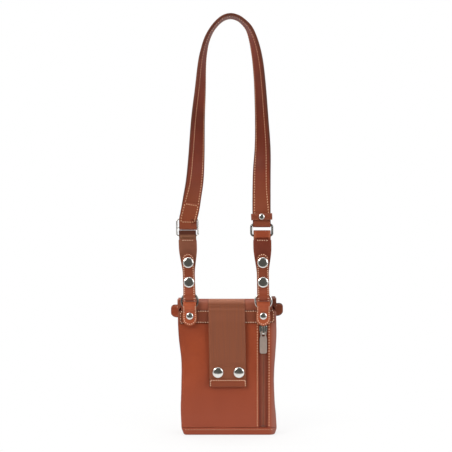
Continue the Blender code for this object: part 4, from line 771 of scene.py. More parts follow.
class Strip:
    """A place on a strip from its distance along and its distance across."""

    def __init__(self, stations):
        self.stations = stations
        self.runs = runs_along([station[0] for station in stations])
        self.length = self.runs[-1]

    def at(self, run):
        run = min(max(run, 0), self.length)
        i, share = part_at(self.runs, run)
        a, b = self.stations[i], self.stations[i + 1]
        turned_by = [a[k].lerp(b[k], share).normalized() for k in (1, 2)]
        return (a[0].lerp(b[0], share), *turned_by, between(a[3], b[3], share), between(a[4], b[4], share))

    def spot(self, across_by, run, face=1):
        place, across, out, half, thickness = self.at(run)
        return place + across * across_by + out * (face * (thickness / 2 - 0.00015)), out * face

    def seam(self, side, inset, start, end, face=1, step=0.0012, swell=0.0):
        """A seam along one edge, as (place, outward) points. Swell moves it inwards between its ends."""
        count = max(int(abs(end - start) / step), 2)
        found = []
        for i, run in enumerate(steps_between(start, end, count)):
            away = swell * ease(SWELL_RATE * min(i, count - i) / count)
            found.append(self.spot(side * (self.at(run)[3] - inset - away), run, face))
        return found

    def both_seams(self, inset, start, end, face=1):
        return [self.seam(side, inset, start, end, face) for side in (-1, 1)]

    def cross_seam(self, run, inset, face=1, count=10):
        half = self.at(run)[3] - inset
        return [self.spot(a, run, face) for a in steps_between(-half, half, count)]

    def round_seam(self, start, tip, radius, face=1):
        """Up one side, round the rounded end and back down. Tip is where the end's centre lies."""
        toward = 1 if tip > start else -1
        straight = steps_between(start, tip, max(int(abs(tip - start) / 0.001), 2))
        line = [(-radius, run) for run in straight]
        for step in range(1, 12):
            angle = math.pi * step / 12
            line.append((-radius * math.cos(angle), tip + toward * radius * math.sin(angle)))
        line += [(radius, run) for run in reversed(straight)]
        return [self.spot(a, run, face) for a, run in line]


def runs_along(places):
    """The distance along a line at each of its places."""
    runs = [0]
    for a, b in zip(places, places[1:]):
        runs.append(runs[-1] + (b - a).length)
    return runs


def part_at(runs, run):
    """The part of a line that holds a distance along it, and the share of that part."""
    i = min(max(int(np.searchsorted(runs, run, side="right")) - 1, 0), len(runs) - 2)
    return i, (run - runs[i]) / max(runs[i + 1] - runs[i], 1e-9)


def walk(line, pitch):
    """Even places along a line of (place, outward) points, as (place, along, outward)."""
    runs = runs_along([place for place, up in line])
    count = max(int(round(runs[-1] / pitch)), 1)
    found = []
    for i in range(count):
        k, share = part_at(runs, runs[-1] * (i + 0.5) / count)
        (a, up), (b, up_after) = line[k], line[k + 1]
        found.append((a.lerp(b, share), (b - a).normalized(), up.lerp(up_after, share).normalized()))
    return found


def sew(name, seams, body, look=THREAD_PALE, pitch=PITCH, radius=THREAD, press=0.0):
    """Separate stitches, each a short twist of thread that dives into a needle hole at both ends."""
    points, faces, picks = [], [], []
    reach = pitch * 0.33
    hole_radius = radius * 0.55

    def add_stack(rings, pick):
        added = stacked(len(points), THREAD_SIDES, len(rings))
        points.extend(point for ring in rings for point in ring)
        faces.extend(added)
        picks.extend([pick] * len(added))

    for place, along, up in (stop for seam in seams for stop in walk(seam, pitch)):
        side = along.cross(up).normalized()
        rings = []
        for t, size, lift in STITCH_FORM:
            centre = place + along * (t * reach) + side * (t * STITCH_SLANT) + up * (lift * radius - press)
            rings.append(ring_of(centre, side, up, radius * size, radius * size * 0.85, THREAD_SIDES))
        add_stack(rings, 0)
        # Each end gets a small dark disc, painted shade for the hollow of its needle hole.
        for end in (-1, 1):
            hole = place + along * (end * (reach + radius * 0.1)) + side * (end * STITCH_SLANT)
            rings = []
            for lift in (-HOLE_LIFT, HOLE_LIFT):
                rings.append(ring_of(hole + up * lift, along, side, hole_radius, hole_radius, THREAD_SIDES))
            add_stack(rings, 1)
    return settle(make_mesh(name, points, faces, [look, HOLE_SHADE], picks), body)


def in_plane(path, thickness):
    """Stations of a strip that bends only in the YZ plane. A path point is (x, y, z, half width)."""
    found = []
    for i, (x, y, z, half) in enumerate(path):
        before, after = path[max(i - 1, 0)], path[min(i + 1, len(path) - 1)]
        along = Vector((0, after[1] - before[1], after[2] - before[2])).normalized()
        found.append((Vector((x, y, z)), X_AXIS, X_AXIS.cross(along), half, thickness))
    return found


def shell(name, outer, thickness, material, hole=None, closed=False, bevel=0.0006):
    """A sheet from a grid of points on its outward face. Hole says which cells are left out.

    A closed sheet wraps round and has a floor, and its rows go from the top down.
    """
    outer = np.array(outer, float)
    rows, cols = outer.shape[:2]
    down, along = np.gradient(outer, axis=0), np.gradient(outer, axis=1)
    if closed:
        along = (np.roll(outer, -1, axis=1) - np.roll(outer, 1, axis=1)) / 2
    normal = np.cross(down, along) if closed else np.cross(along, down)
    normal /= np.maximum(np.linalg.norm(normal, axis=2, keepdims=True), 1e-12)
    thick = np.broadcast_to(np.array(thickness, float), (rows, cols))[..., None]
    size = rows * cols
    points = np.concatenate([outer.reshape(-1, 3), (outer - normal * thick).reshape(-1, 3)])
    faces, sides = [], {}
    for r in range(rows - 1):
        for c in range(cols if closed else cols - 1):
            if hole is not None and hole[r][c]:
                continue
            after = (c + 1) % cols
            quad = (r * cols + c, r * cols + after, (r + 1) * cols + after, (r + 1) * cols + c)
            faces += [quad, tuple(size + k for k in reversed(quad))]
            for a, b in zip(quad, quad[1:] + quad[:1]):
                if (b, a) in sides:
                    del sides[(b, a)]
                else:
                    sides[(a, b)] = True
    floor = range((rows - 1) * cols, rows * cols) if closed else ()
    sides = [(a, b) for a, b in sides if a not in floor or b not in floor]
    faces += [(b, a, size + a, size + b) for a, b in sides]
    if closed:
        faces += [tuple(floor), tuple(size + k for k in reversed(floor))]
    border = points[sorted({k for side in sides for k in side})]
    near = [np.sqrt(((border - place) ** 2).sum(1).min()) for place in points[:size]]
    marks = np.maximum(1 - np.array(near * 2) / WORN_SHEET_EDGE, 0)
    used = sorted({k for face in faces for k in face})
    order = {k: i for i, k in enumerate(used)}
    faces = [tuple(order[k] for k in face) for face in faces]
    made = make_mesh(name, points[used], faces, [material], None, marks[used])
    if bevel:
        ease_edges(made, bevel, 45)
    return made


def turned(profile, segments):
    """A profile of (radius, height) points turned about the out axis; radius 0 is a pole."""
    points, rows, faces = [], [], []
    for radius, height in profile:
        count = segments if radius else 1
        rows.append(range(len(points), len(points) + count))
        points += ring_of(Vector((0, 0, height)), X_AXIS, Y_AXIS, radius, radius, count)
    closed = profile[0][0] > 0 and profile[-1][0] > 0
    for first, second in list(zip(rows, rows[1:])) + ([(rows[-1], rows[0])] if closed else []):
        for step in range(segments):
            after = (step + 1) % segments
            low, low_after = first[step % len(first)], first[after % len(first)]
            high, high_after = second[step % len(second)], second[after % len(second)]
            faces.append(tuple(dict.fromkeys((low, low_after, high_after, high))))
    return points, faces


def make_turned(name, profile, segments, place, body, nodes=(), sharp=32):
    """A metal piece turned from its profile and set in its place, with edges over the sharp angle crisp."""
    points, faces = turned(profile, segments)
    piece = make_mesh(name, [place @ point for point in points], faces, [NICKEL])
    piece.data.set_sharp_from_angle(angle=math.radians(sharp))
    return settle(piece, body, nodes)


def worn_side(x, y, z):
    """Across +X, along +Z, out towards the wearer, -Y."""
    return Matrix(((1, 0, 0, x), (0, 0, -1, y), (0, 1, 0, z), (0, 0, 0, 1)))


def top_side(x, y, z):
    """Across -Y, along +X, out upwards."""
    return Matrix(((0, 1, 0, x), (-1, 0, 0, y), (0, 0, 1, z), (0, 0, 0, 1)))


# The pouch's soft outline


def half_width(z):
    if z < WAIST_HEIGHT:
        return between(BASE_HALF_WIDTH, WAIST_HALF_WIDTH, ease(z / WAIST_HEIGHT))
    return between(WAIST_HALF_WIDTH, TOP_HALF_WIDTH, fade(z, WAIST_HEIGHT, FULL_WIDTH_HEIGHT))


def settled(x, y, z):
    """Where a point of the pouch lies once the bag has leant: more at the sides, none by the zip."""
    lean = np.interp(z, *zip(*LEAN)) * fade(x, *(LEAN_RIGHT if x > 0 else LEAN_LEFT))
    return (x + lean, y, z + TILT * x * fade(z, *TILT_HEIGHTS) * fade(abs(x), *TILT_SIDES))


def pouch_seam(places, out):
    """A seam on the settled pouch, as (place, outward) points."""
    return [(Vector(settled(*place)), Vector(out)) for place in places]


def swell(x, z):
    """How far a panel stands out: full in the middle, flat by seams, snaps, zip and straps."""
    level = math.cos(min(abs(x) / half_width(z), 1) * math.pi / 2)
    full = PANEL_SWELL * level * math.sin(math.pi * min(max(z / PANEL_SWELL_TOP, 0), 1))
    wave = PANEL_WAVE * noise.noise(Vector((x * 26, 3.1, z * 19)))
    wave += PANEL_RIPPLE * noise.noise(Vector((x * 60, 7.3, z * 44)))
    return (full + wave) * fade(z, *CALM_TOP) * fade(z, *CALM_FOOT)


def panel_rounding(x, half):
    """How far a panel has bent back towards its gusset, from 0 to 1 at its edge."""
    return fade(abs(x), half - PANEL_EDGE, half)


def panel_grid(side, columns):
    """The outward face of a panel: up the face, over the rolled rim and down inside the mouth."""
    grid = []
    rim_half = TOP_HALF_WIDTH - RIM_END_INSET
    for z in in_steps(PANEL_BOTTOM, (POCKET_WINDOW_TOP, WINDOW_ROWS), (RIM_CENTRE_Z, 10)):
        half = between(half_width(z), rim_half, fade(z, STRIP_TOP - 0.004, STRIP_TOP + 0.002))
        row = []
        for x in columns(half):
            out = swell(x, z)
            if side < 0:
                out *= fade(x, *CALM_ZIP)
                for snap in (-1, 1):
                    gap = math.hypot(x - BELT_SNAP_MIDDLE - snap * BELT_SNAP_X, z - BELT_SNAP_Z)
                    out *= fade(gap, *CALM_SNAP)
            drop = PANEL_EDGE_DROP * panel_rounding(x, half) * fade(z, STRIP_BOTTOM, STRIP_BOTTOM - 0.01)
            row.append(settled(x, side * (abs(BACK_FACE_Y) + out - drop), z))
        grid.append(row)
    centre = (abs(RIM_CENTRE_Y), RIM_CENTRE_Z)
    mouth = arc(centre, RIM_RADIUS, 0, 180, 18)[1:]
    mouth += [(centre[0] - RIM_RADIUS, z) for z in (RIM_CENTRE_Z - 0.002, RIM_EDGE_HEIGHT)]
    grid += [[settled(x, side * y, z) for x in columns(rim_half)] for y, z in mouth]
    return [row[::-1] for row in grid] if side > 0 else grid


def worn_columns(half):
    """Columns across the worn side, with one on each side of the pocket zip's window."""
    low, high = POCKET_WINDOW_SIDES
    edge = -half + PANEL_EDGE
    return in_steps(-half, (edge, EDGE_COLUMNS), (low, FIELD_COLUMNS), (high, WINDOW_COLUMNS), (half, 5))


def plain_columns(half):
    return in_steps(-half, (PANEL_EDGE - half, EDGE_COLUMNS), (half - PANEL_EDGE, 44), (half, EDGE_COLUMNS))


def make_panels():
    grid = panel_grid(-1, worn_columns)
    first = EDGE_COLUMNS + FIELD_COLUMNS
    window = range(first, first + WINDOW_COLUMNS)
    cells = range(len(grid[0]) - 1)
    hole = [[r < WINDOW_ROWS and c in window for c in cells] for r in range(len(grid) - 1)]
    back = shell("back_panel_skin", grid, LEATHER, TAN_PANEL, hole, bevel=0.0007)
    settle(back, "pouch", ["back_panel"])
    front = shell("front_panel_skin", panel_grid(1, plain_columns), LEATHER, FRONT_PANEL, bevel=0.0007)
    settle(front, "pouch", ["front_panel"])
    seams = []
    left, right = WINDOW_SEAM_AWAY
    for x in (POCKET_WINDOW_SIDES[0] - left, POCKET_WINDOW_SIDES[1] + right):
        places = []
        for z in steps_between(WINDOW_SEAM_BOTTOM, STRIP_BOTTOM + 0.0010, 60):
            drop = PANEL_EDGE_DROP * panel_rounding(x, half_width(z))
            places.append((x, BACK_FACE_Y + drop + SEAM_SEAT, z))
        seams.append(pouch_seam(places, (0, -1, 0)))
    top = [(x, BACK_FACE_Y + SEAM_SEAT, WINDOW_SEAM_TOP) for x in steps_between(*WINDOW_SEAM_ENDS, 8)]
    seams.append(pouch_seam(top, (0, -1, 0)))
    sew("pocket_window_thread", seams, "pouch", THREAD_RUST, WINDOW_PITCH)
    seams = []
    for half, z in FRONT_SEAMS:
        places = [(x, -BACK_FACE_Y - SEAM_SEAT, z) for x in steps_between(-half, half, 60)]
        seams.append(pouch_seam(places, (0, 1, 0)))
    sew("front_rim_thread", seams, "pouch")


# Gussets, base tray, top strip and end tabs


def gusset_top(y):
    """The height of the gusset's upper edge: two lobes with a valley for the zip's end between them."""
    away = abs(y)
    if away < NOTCH_FLOOR_HALF:
        return END_TAB_MIDDLE - END_TAB_HEIGHT / 2 - GAP
    share = math.sqrt(min((away - NOTCH_FLOOR_HALF) / (NOTCH_MOUTH_HALF - NOTCH_FLOOR_HALF), 1))
    drop = max(away - abs(BACK_FACE_Y) + HEM_SHOULDER, 0)
    return between(RIM_EDGE_HEIGHT, GUSSET_TOP, share) - drop * drop / HEM_SHOULDER * 0.9


def make_gusset(name, side):
    """A side of the pouch, with its upper edge turned to a thick hem and a notch for the zip's end."""
    depth = abs(BACK_FACE_Y) - LEATHER - GAP
    floor = NOTCH_FLOOR_HALF
    outer = in_steps(floor + NOTCH_WALL, (NOTCH_MOUTH_HALF, 8), (depth, 8))
    ys = [-y for y in reversed(outer)] + steps_between(NOTCH_WALL - floor, floor - NOTCH_WALL, 3) + outer
    if side < 0:
        ys.reverse()
    grid, thick = [], []
    count = 70
    hem_from = GUSSET_TOP - HEM_HEIGHT
    for r in range(count + 1):
        row, heavy = [], []
        for y in ys:
            z = between(PANEL_BOTTOM, gusset_top(y), r / count)
            bow = GUSSET_BOW * math.cos(math.pi * y / (2 * depth))
            bow *= fade(z, *GUSSET_BOW_TOP) * fade(z, 0, 0.03)
            wave = GUSSET_WAVE * noise.noise(Vector((side * 5.0, y * 60, z * 28)))
            bow += wave * fade(z, *GUSSET_WAVE_TOP) * ease(1 - abs(y) / depth)
            hem = fade(z, hem_from - 0.0012, hem_from + 0.0003)
            row.append(settled(side * (half_width(z) + bow + HEM_LIP * hem), y, z))
            heavy.append(between(LEATHER, HEM_THICKNESS + HEM_LIP, hem))
        grid.append(row)
        thick.append(heavy)
    # Painted shade: the right gusset, turned from the key light, gets the shaded copy of the leather.
    made = shell(f"{name}_skin", grid, thick, SHADED_TAN_LEATHER if side > 0 else TAN_PANEL)
    settle(made, "pouch", [name])
    seams = []
    z = hem_from + GUSSET_SEAM_RISE
    near, far = GUSSET_SEAM_HALF_GAP, depth - 0.002
    for low, high in ((-far, -near), (near, far)):
        places = [(side * (half_width(z) + HEM_LIP), y, z) for y in steps_between(low, high, 10)]
        seams.append(pouch_seam(places, (side, 0, 0)))
    sew(f"{name}_thread", seams, "pouch")


def tray_halves(z, inset):
    """The tray's half width and half depth at a height."""
    draft = TRAY_DRAFT * ease(1 - z / TRAY_HEIGHT)
    return BASE_HALF_WIDTH - inset - draft, abs(BACK_FACE_Y) - inset - draft / 3


def make_base_tray():
    """The band round the foot, turned under at the bottom, with one seam along its upper edge."""
    profile = [(z, 0.0) for z in steps_between(TRAY_HEIGHT, TRAY_TURN, 5)]
    for turn in map(math.radians, (20, 45, 70, 90)):
        profile.append((TRAY_TURN * (1 - math.sin(turn)), TRAY_TURN * (1 - math.cos(turn))))
    profile += [(0.0, 0.006), (0.0, 0.012), (0.0, 0.0165)]
    grid = []
    for z, inset in profile:
        half_x, half_y = tray_halves(z, inset)
        corner = max(TRAY_CORNER - inset, 0.0008)
        row = []
        for x, y in rounded_loop(-half_x, half_x, -half_y, half_y, corner, 7, 6, 22):
            slump = TRAY_SLUMP * noise.noise(Vector((x * 40, y * 40, 2.0))) if z > 0.004 else 0
            leant = settled(x, y, z)
            row.append((leant[0], leant[1], max(leant[2] + slump, 0)))
        grid.append(row)
    made = shell("base_tray_skin", grid, LEATHER, TAN_PANEL, closed=True)
    settle(made, "pouch", ["base_tray"])
    z = TRAY_SEAM_HEIGHT
    half_x, half_y = tray_halves(z, SEAM_SEAT)
    seams = []
    reach = BASE_HALF_WIDTH - TRAY_SEAM_END
    for side in (-1, 1):
        places = [(x, side * half_y, z) for x in steps_between(-reach, reach, 70)]
        seams.append(pouch_seam(places, (0, side, 0)))
    for side in (-1, 1):
        ys = steps_between(-TRAY_SEAM_HALF_DEPTH, TRAY_SEAM_HALF_DEPTH, 20)
        places = [(side * half_x, y, z) for y in ys]
        seams.append(pouch_seam(places, (side, 0, 0)))
    sew("base_tray_thread", seams, "pouch", THREAD_PALE, TRAY_PITCH, TRAY_THREAD, TRAY_THREAD_PRESS)


def make_top_strip():
    stations = []
    y, z = STRIP_FACE_Y + STRIP_THICKNESS / 2, (STRIP_BOTTOM + STRIP_TOP) / 2
    for x in steps_between(-STRIP_HALF_WIDTH, STRIP_HALF_WIDTH, 50):
        place = Vector(settled(x, y, z))
        stations.append((place, Z_AXIS, -Y_AXIS, (STRIP_TOP - STRIP_BOTTOM) / 2, STRIP_THICKNESS))
    # Painted shade: the strip, under the webbing and tabs, gets the shaded copy of the leather.
    made = sweep("top_strip_skin", stations, [SHADED_TAN_LEATHER, FLESH, RAW_EDGE], 9, STRIP_SEAM_INSET)
    settle(made, "pouch", ["top_strip"])
    strip = Strip(stations)
    ends = (STRIP_SEAM_END, strip.length - STRIP_SEAM_END)
    seams = strip.both_seams(STRIP_SEAM_INSET, *ends)
    seams += [strip.cross_seam(run, STRIP_SEAM_INSET + 0.0005) for run in ends]
    sew("top_strip_thread", seams, "pouch")


def make_zip_end_tab(name, side):
    """Two layers of leather over the zip's end: round upper corner, slanted lower corner."""
    outer = TOP_HALF_WIDTH + END_TAB_REACH
    inner = TOP_HALF_WIDTH - END_TAB_INNER
    low = END_TAB_MIDDLE - END_TAB_HEIGHT / 2
    high = low + END_TAB_HEIGHT
    corner = END_TAB_CORNER
    slant = corner * 1.6
    runs = steps_between(inner, outer - slant, 10)
    runs += [outer - slant * (1 - math.sin(math.pi / 2 * k / 16)) for k in range(1, 17)]
    stations = []
    for x in runs:
        over = max(x - (outer - corner), 0)
        top = high - corner + math.sqrt(max(corner**2 - over**2, 0))
        under = min(max((x - (outer - slant)) / slant, 0), 1)
        bottom = low + corner * 1.215 * (1 - math.sqrt(max(1 - under**2.2, 0))) + corner * 0.12 * under
        place = Vector(settled(side * x, 0, (top + bottom) / 2))
        stations.append((place, Z_AXIS, -side * Y_AXIS, max((top - bottom) / 2, 0.002), END_TAB_THICKNESS))
    # Painted shade: the right end tab gets the shaded leather and the darker cut edge.
    look, edge = (TAN, TAN_EDGE) if side < 0 else (SHADED_TAN_LEATHER, RAW_EDGE)
    settle(sweep(f"{name}_skin", stations, [look, look, edge]), "pouch", [name])
    strip = Strip(stations)
    sew(f"{name}_thread", [strip.cross_seam(0.0018, 0.0024, face, 6) for face in (-1, 1)], "pouch")


# Lining and pocket bag


def make_lining():
    """An open-topped cloth bag that hangs from the mouth, loose and creased."""
    grid = []
    sides = (26, 10, 26, 10)
    for z in steps_between(LINING_FLOOR, LINING_TOP, 44):
        draw, lean = fade(z, *LINING_DRAW), fade(z, *LINING_LEAN)
        foot = LINING_FOOT_INSET * ease(1 - z / LINING_FOOT_HEIGHT)
        wide = half_width(max(z, 0.012)) - LEATHER - GAP
        half_x = between(wide, LINING_MOUTH_HALF_WIDTH, draw) - 0.0003 - foot
        back = between(POCKET_TAPE_FACE_Y + 0.0049, -LINING_MOUTH_HALF_DEPTH, lean) + LINING_THICKNESS
        front = between(-POCKET_TAPE_FACE_Y, LINING_MOUTH_HALF_DEPTH, lean) - LINING_THICKNESS - foot
        corners = [(-half_x, back), (half_x, back), (half_x, front), (-half_x, front)]
        loose = LINING_CREASE * fade(z, 0.006, 0.026) * fade(z, LINING_TOP, LINING_TOP - 0.006)
        row = []
        for (x0, y0), (x1, y1), count in zip(corners, corners[1:] + corners[:1], sides):
            for j in range(count):
                x, y = between(x0, x1, j / count), between(y0, y1, j / count)
                crease = loose * abs(noise.noise(Vector((x * 70, y * 70, z * 30))))
                row.append(settled(x - crease * x / half_x * 0.7, y - crease * (y - 0.002) / front, z))
        grid.append(row)
    grid.reverse()
    made = shell("lining_skin", grid, LINING_THICKNESS, LINING_LOOK, closed=True, bevel=0)
    settle(made, "pouch", ["lining"])


def make_pocket_bag():
    """A shallow cloth pocket behind its zip: a back with turned sides."""
    front = POCKET_TAPE_FACE_Y
    rows, cols = 40, 26
    left, right, low, high = POCKET_BAG
    grid = []
    for r in range(-3, rows + 4):
        row = []
        for c in reversed(range(-3, cols + 4)):
            x = between(left, right, min(max(c / cols, 0), 1))
            z = between(low, high, min(max(r / rows, 0), 1))
            turned_up = max(-c, c - cols, -r, r - rows, 0) / 3
            crease = 0.0005 * abs(noise.noise(Vector((x * 80, 4.0, z * 36)))) if turned_up == 0 else 0
            row.append((x, between(front + POCKET_DEPTH, front + LINING_THICKNESS, turned_up) - crease, z))
        grid.append(row)
    made = shell("pocket_bag_skin", grid, LINING_THICKNESS, LINING_LOOK, bevel=0)
    settle(made, "pouch", ["pocket_bag"])


# Zips


def make_tape(name, place, ends, side, tape_half):
    slot = CHAIN_SLOT / 2
    across, out = ((place.to_3x3() @ axis).normalized() for axis in (X_AXIS, Z_AXIS))
    stations = []
    for along in steps_between(*ends, 60):
        spot = place @ Vector((side * (tape_half + slot) / 2, along, -TAPE / 2))
        stations.append((spot, across, out, (tape_half - slot) / 2, TAPE))
    return sweep(name, stations, [ZIP_TAPE, ZIP_TAPE, ZIP_TAPE], 5)


def make_coil(name, place, chain, side):
    """The ribbed edge of a tape: one low bar for each tooth, lower at both of its ends."""
    points, faces = [], []
    count = int((chain[1] - chain[0]) / COIL_PITCH)
    for k in range(count):
        at = between(*chain, (k + 0.5) / count) + side * 0.00028
        faces += stacked(len(points), 6, 4)
        for share, height in ((0, 0.35), (0.12, 1), (0.88, 1), (1, 0.35)):
            across = side * between(COIL_INNER, COIL_OUTER, share)
            for turn in map(math.radians, (0, 45, 90, 135, 180)):
                lift = COIL_RISE * height * math.sin(turn) - 0.00002
                points.append(place @ Vector((across, at + COIL_HALF * math.cos(turn), lift)))
            points.append(place @ Vector((across, at, -0.0012)))
    return make_mesh(name, points, faces, [ZIP_TEETH], None, None, [(p.x, p.z) for p in points])


def make_stringers(name, place, ends, chain, tape_half):
    """Woven tapes with the ribbed coil showing along their meeting edges."""
    for word, side in SIDES:
        tape = make_tape(f"{name}_tape_{word}", place, ends, side, tape_half)
        settle(tape, "pouch", [f"{name}_stringer_{word}"])
        settle(make_coil(f"{name}_coil_{word}", place, chain, side), "pouch")


def plate(node, look):
    """A solid fitting kept as it is, with the look of its metal."""
    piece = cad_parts[node]
    piece.data.materials.clear()
    piece.data.materials.append(look)
    return piece


def round_all(piece):
    """Rounds a cast fitting all over."""
    grain = piece.modifiers.new("cast", "REMESH")
    grain.mode = "VOXEL"
    grain.voxel_size = CAST_GRAIN
    grain.use_smooth_shade = True
    smooth = piece.modifiers.new("rounded", "SMOOTH")
    smooth.factor = 0.5
    smooth.iterations = 7


def make_zips():
    pocket = worn_side(POCKET_ZIP_X, POCKET_TAPE_FACE_Y, 0)
    make_stringers("pocket_zip", pocket, (POCKET_TAPE_BOTTOM, POCKET_TAPE_TOP), POCKET_COIL, TAPE_HALF_WIDTH)
    top = top_side(0, 0, TOP_TAPE_FACE)
    ends = (-TOP_TAPE_HALF_LENGTH, TOP_TAPE_HALF_LENGTH)
    make_stringers("top_zip", top, ends, (-TOP_COIL_HALF_LENGTH, TOP_COIL_HALF_LENGTH), TOP_TAPE_HALF_WIDTH)
    for name in ("pocket_zip", "top_zip"):
        ease_edges(plate(f"{name}_stop", PAINTED_STOP), 0.0002, 38)
        round_all(plate(f"{name}_slider", SLIDER_NICKEL))
        round_all(plate(f"{name}_pull", PULL_NICKEL))


# Snaps and rivets


def fine_dome(radius, base, edge, rise, steps):
    """From the rim over a low dome with a rolled edge, as (radius, height) points ending on the axis."""
    found = [(radius - 0.0001, base), (radius, base + edge * 0.35), (radius, base + edge * 0.7)]
    for step in range(1, steps + 1):
        angle = math.pi / 2 * step / steps
        spread = radius * math.cos(angle) if step < steps else 0
        found.append((spread, base + edge + (rise - edge) * math.sin(angle)))
    return found


def snap_cap(upper):
    base, low = SNAP_SPACE + upper + GAP, SNAP_SPACE - GAP
    barrel = [(0, low), (SNAP_BARREL_RADIUS, low), (SNAP_BARREL_RADIUS, base)]
    return barrel + fine_dome(SNAP_CAP_RADIUS, base, SNAP_CAP_EDGE, SNAP_CAP_RISE, 14)


def snap_socket():
    top = SNAP_SPACE - GAP
    low = top - SNAP_SOCKET_THICKNESS
    hole, radius = SNAP_STUD_HEAD_RADIUS + GAP, SNAP_SOCKET_RADIUS
    return [
        (hole, low + 0.0003), (hole, top), (radius, top), (radius, low + 0.0007),
        (radius - 0.0005, low + 0.0003), (radius - 0.0014, low + 0.0006),
        (hole + 0.0012, low + 0.0006), (hole + 0.0006, low + 0.0001),
    ]


def snap_stud(lower):
    """The post's cap behind the lower leather, its shank, the flange in front and the stud's head."""
    cap, shank, flange = SNAP_POST_CAP_RADIUS, SNAP_SHANK_RADIUS, SNAP_STUD_FLANGE_RADIUS
    head, neck = SNAP_STUD_HEAD_RADIUS, SNAP_STUD_NECK_RADIUS
    back, face, top = -lower - GAP, GAP + SNAP_STUD_FLANGE, SNAP_SPACE - 2 * GAP
    return [
        (0, back - SNAP_POST_CAP), (cap - 0.0008, back - SNAP_POST_CAP),
        (cap - 0.0002, back - SNAP_POST_CAP * 0.6), (cap, back), (shank, back), (shank, GAP), (flange, GAP),
        (flange - 0.0001, face), (neck + 0.0004, face), (neck, face + 0.0004),
        (head - 0.0002, top - head * 0.5), (head, top - head * 0.33), (head - 0.0002, top - head * 0.15),
        (neck, top), (0, top),
    ]


def make_snap(prefix, suffix, x, z, face_y, layers, bodies):
    """A snap's cap and socket on one body, its stud on the other. Layers: upper and lower thickness."""
    place = worn_side(x, face_y, z)
    upper, lower = layers
    parts = (("cap", snap_cap(upper), 0), ("socket", snap_socket(), 0), ("stud", snap_stud(lower), 1))
    for word, profile, body in parts:
        name = f"{prefix}_{word}_{suffix}"
        make_turned(f"{name}_metal", profile, TURNED_SIDES, place, bodies[body], [name])


def make_rivet(name, place, cap_radius, length, body):
    scale = cap_radius / RIVET_CAP_RADIUS
    rise, back = RIVET_CAP_RISE * scale, RIVET_BACK_RADIUS * scale
    end = -length - GAP
    foot = end - RIVET_BACK_THICKNESS
    profile = [(0, foot), (back - 0.0005, foot), (back, end - 0.0004), (back, end)]
    profile += [(RIVET_SHANK_RADIUS, end), (RIVET_SHANK_RADIUS, GAP)]
    profile += fine_dome(cap_radius, GAP, rise / 4, rise, 12)
    make_turned(f"{name}_metal", profile, TURNED_SIDES, place, body, [name])


# Ring tabs and rings


def eased_line(start, end, shares):
    """Places (across, up) on the way from start to end. The way across is eased."""
    return [(between(start[0], end[0], ease(share)), between(start[1], end[1], share)) for share in shares]


def tab_path():
    """Points (y, z, half) from the front leg's round tip, over the ring and down the back leg."""
    front = TAB_FRONT_OUTER_Y + TAB_LEATHER / 2
    back = TAB_BACK_INNER_Y + TAB_LEATHER / 2
    radius = TAB_LOOP_RADIUS + TAB_LEATHER / 2
    clear = (RING_WIRE / 2 + GAP + TAB_LEATHER / 2) / RING_COSINE
    knee, back_knee = TAB_FRONT_KNEE - GAP, TAB_BACK_KNEE - GAP
    path = []
    for step in range(1, 13):
        angle = math.pi / 2 * step / 12
        z = TAB_FRONT_BOTTOM + TAB_FOOT_HALF_WIDTH * (1 - math.cos(angle))
        path.append((front, z, TAB_FOOT_HALF_WIDTH * math.sin(angle)))
    for z in steps_between(path[-1][1], knee, 7)[1:]:
        path.append((front, z, between(TAB_FOOT_HALF_WIDTH, TAB_HALF_WIDTH, fade(z, TAB_RIVET_Z, knee))))
    bend = (RING_Y - clear, RING_AXIS_Z)
    fold = arc((RING_Y, TAB_FOLD_TOP - TAB_LEATHER / 2 - radius), radius, 180, 0, 24)
    upper = eased_line((front, knee), bend, (1 / 3, 2 / 3, 1))
    upper += [(between(bend[0], fold[0][0], k / 3), between(bend[1], fold[0][1], k / 3)) for k in (1, 2)]
    upper += fold + [(back, z) for z in steps_between(back_knee, TAB_BACK_BOTTOM, 5)]
    return path + [(y, z, TAB_HALF_WIDTH) for y, z in upper]


def make_tab(word, side):
    stations = in_plane([(side * TAB_X, y, z, half) for y, z, half in tab_path()], TAB_LEATHER)
    looks = [TAN, FLESH, TAN_EDGE]
    made = sweep(f"ring_tab_{word}_skin", stations, looks, 7, TAB_STITCH_INSET, ends=(False, True))
    settle(made, "pouch", [f"ring_tab_{word}"])
    strip = Strip(stations)
    tip_z = TAB_FRONT_BOTTOM + TAB_FOOT_HALF_WIDTH
    tip = strip.runs[next(i for i, s in enumerate(stations) if s[0].z > tip_z - 0.0003)]
    seam = strip.round_seam(tip + 0.0195, tip, TAB_FOOT_HALF_WIDTH - TAB_STITCH_INSET - 0.0004)
    sew(f"ring_tab_{word}_thread", [seam], "pouch", pitch=TAB_PITCH)
    place = worn_side(side * TAB_X, TAB_FRONT_OUTER_Y, TAB_RIVET_Z)
    length = abs(TAB_FRONT_OUTER_Y - BACK_FACE_Y) + LEATHER
    make_rivet(f"tab_rivet_{word}", place, RIVET_CAP_RADIUS, length, "pouch")


def wire(node, path, gauge, look, body, sides=16):
    """A round wire bent into a closed loop, in the place of the solid named."""
    points = []
    normal = (path[1] - path[0]).cross(path[len(path) // 3] - path[0]).normalized()
    for i, place in enumerate(path):
        along = (path[(i + 1) % len(path)] - path[i - 1]).normalized()
        points += ring_of(place, along.cross(normal), normal, gauge / 2, gauge / 2, sides)
    piece = make_mesh(f"{node}_metal", points, stacked(0, sides, len(path), closed=True), [look])
    return settle(piece, body, [node])


def make_ring(word, side):
    path = ring_of(Vector((side * TAB_X, RING_Y, RING_Z)), X_AXIS, Z_AXIS, RING_RADIUS, RING_RADIUS, 96)
    # Painted shade: the left ring gets the shaded copy of the nickel.
    wire(f"ring_{word}", path, RING_WIRE, SHADED_NICKEL if side < 0 else NICKEL, f"ring_{word}", sides=20)


# Lower straps


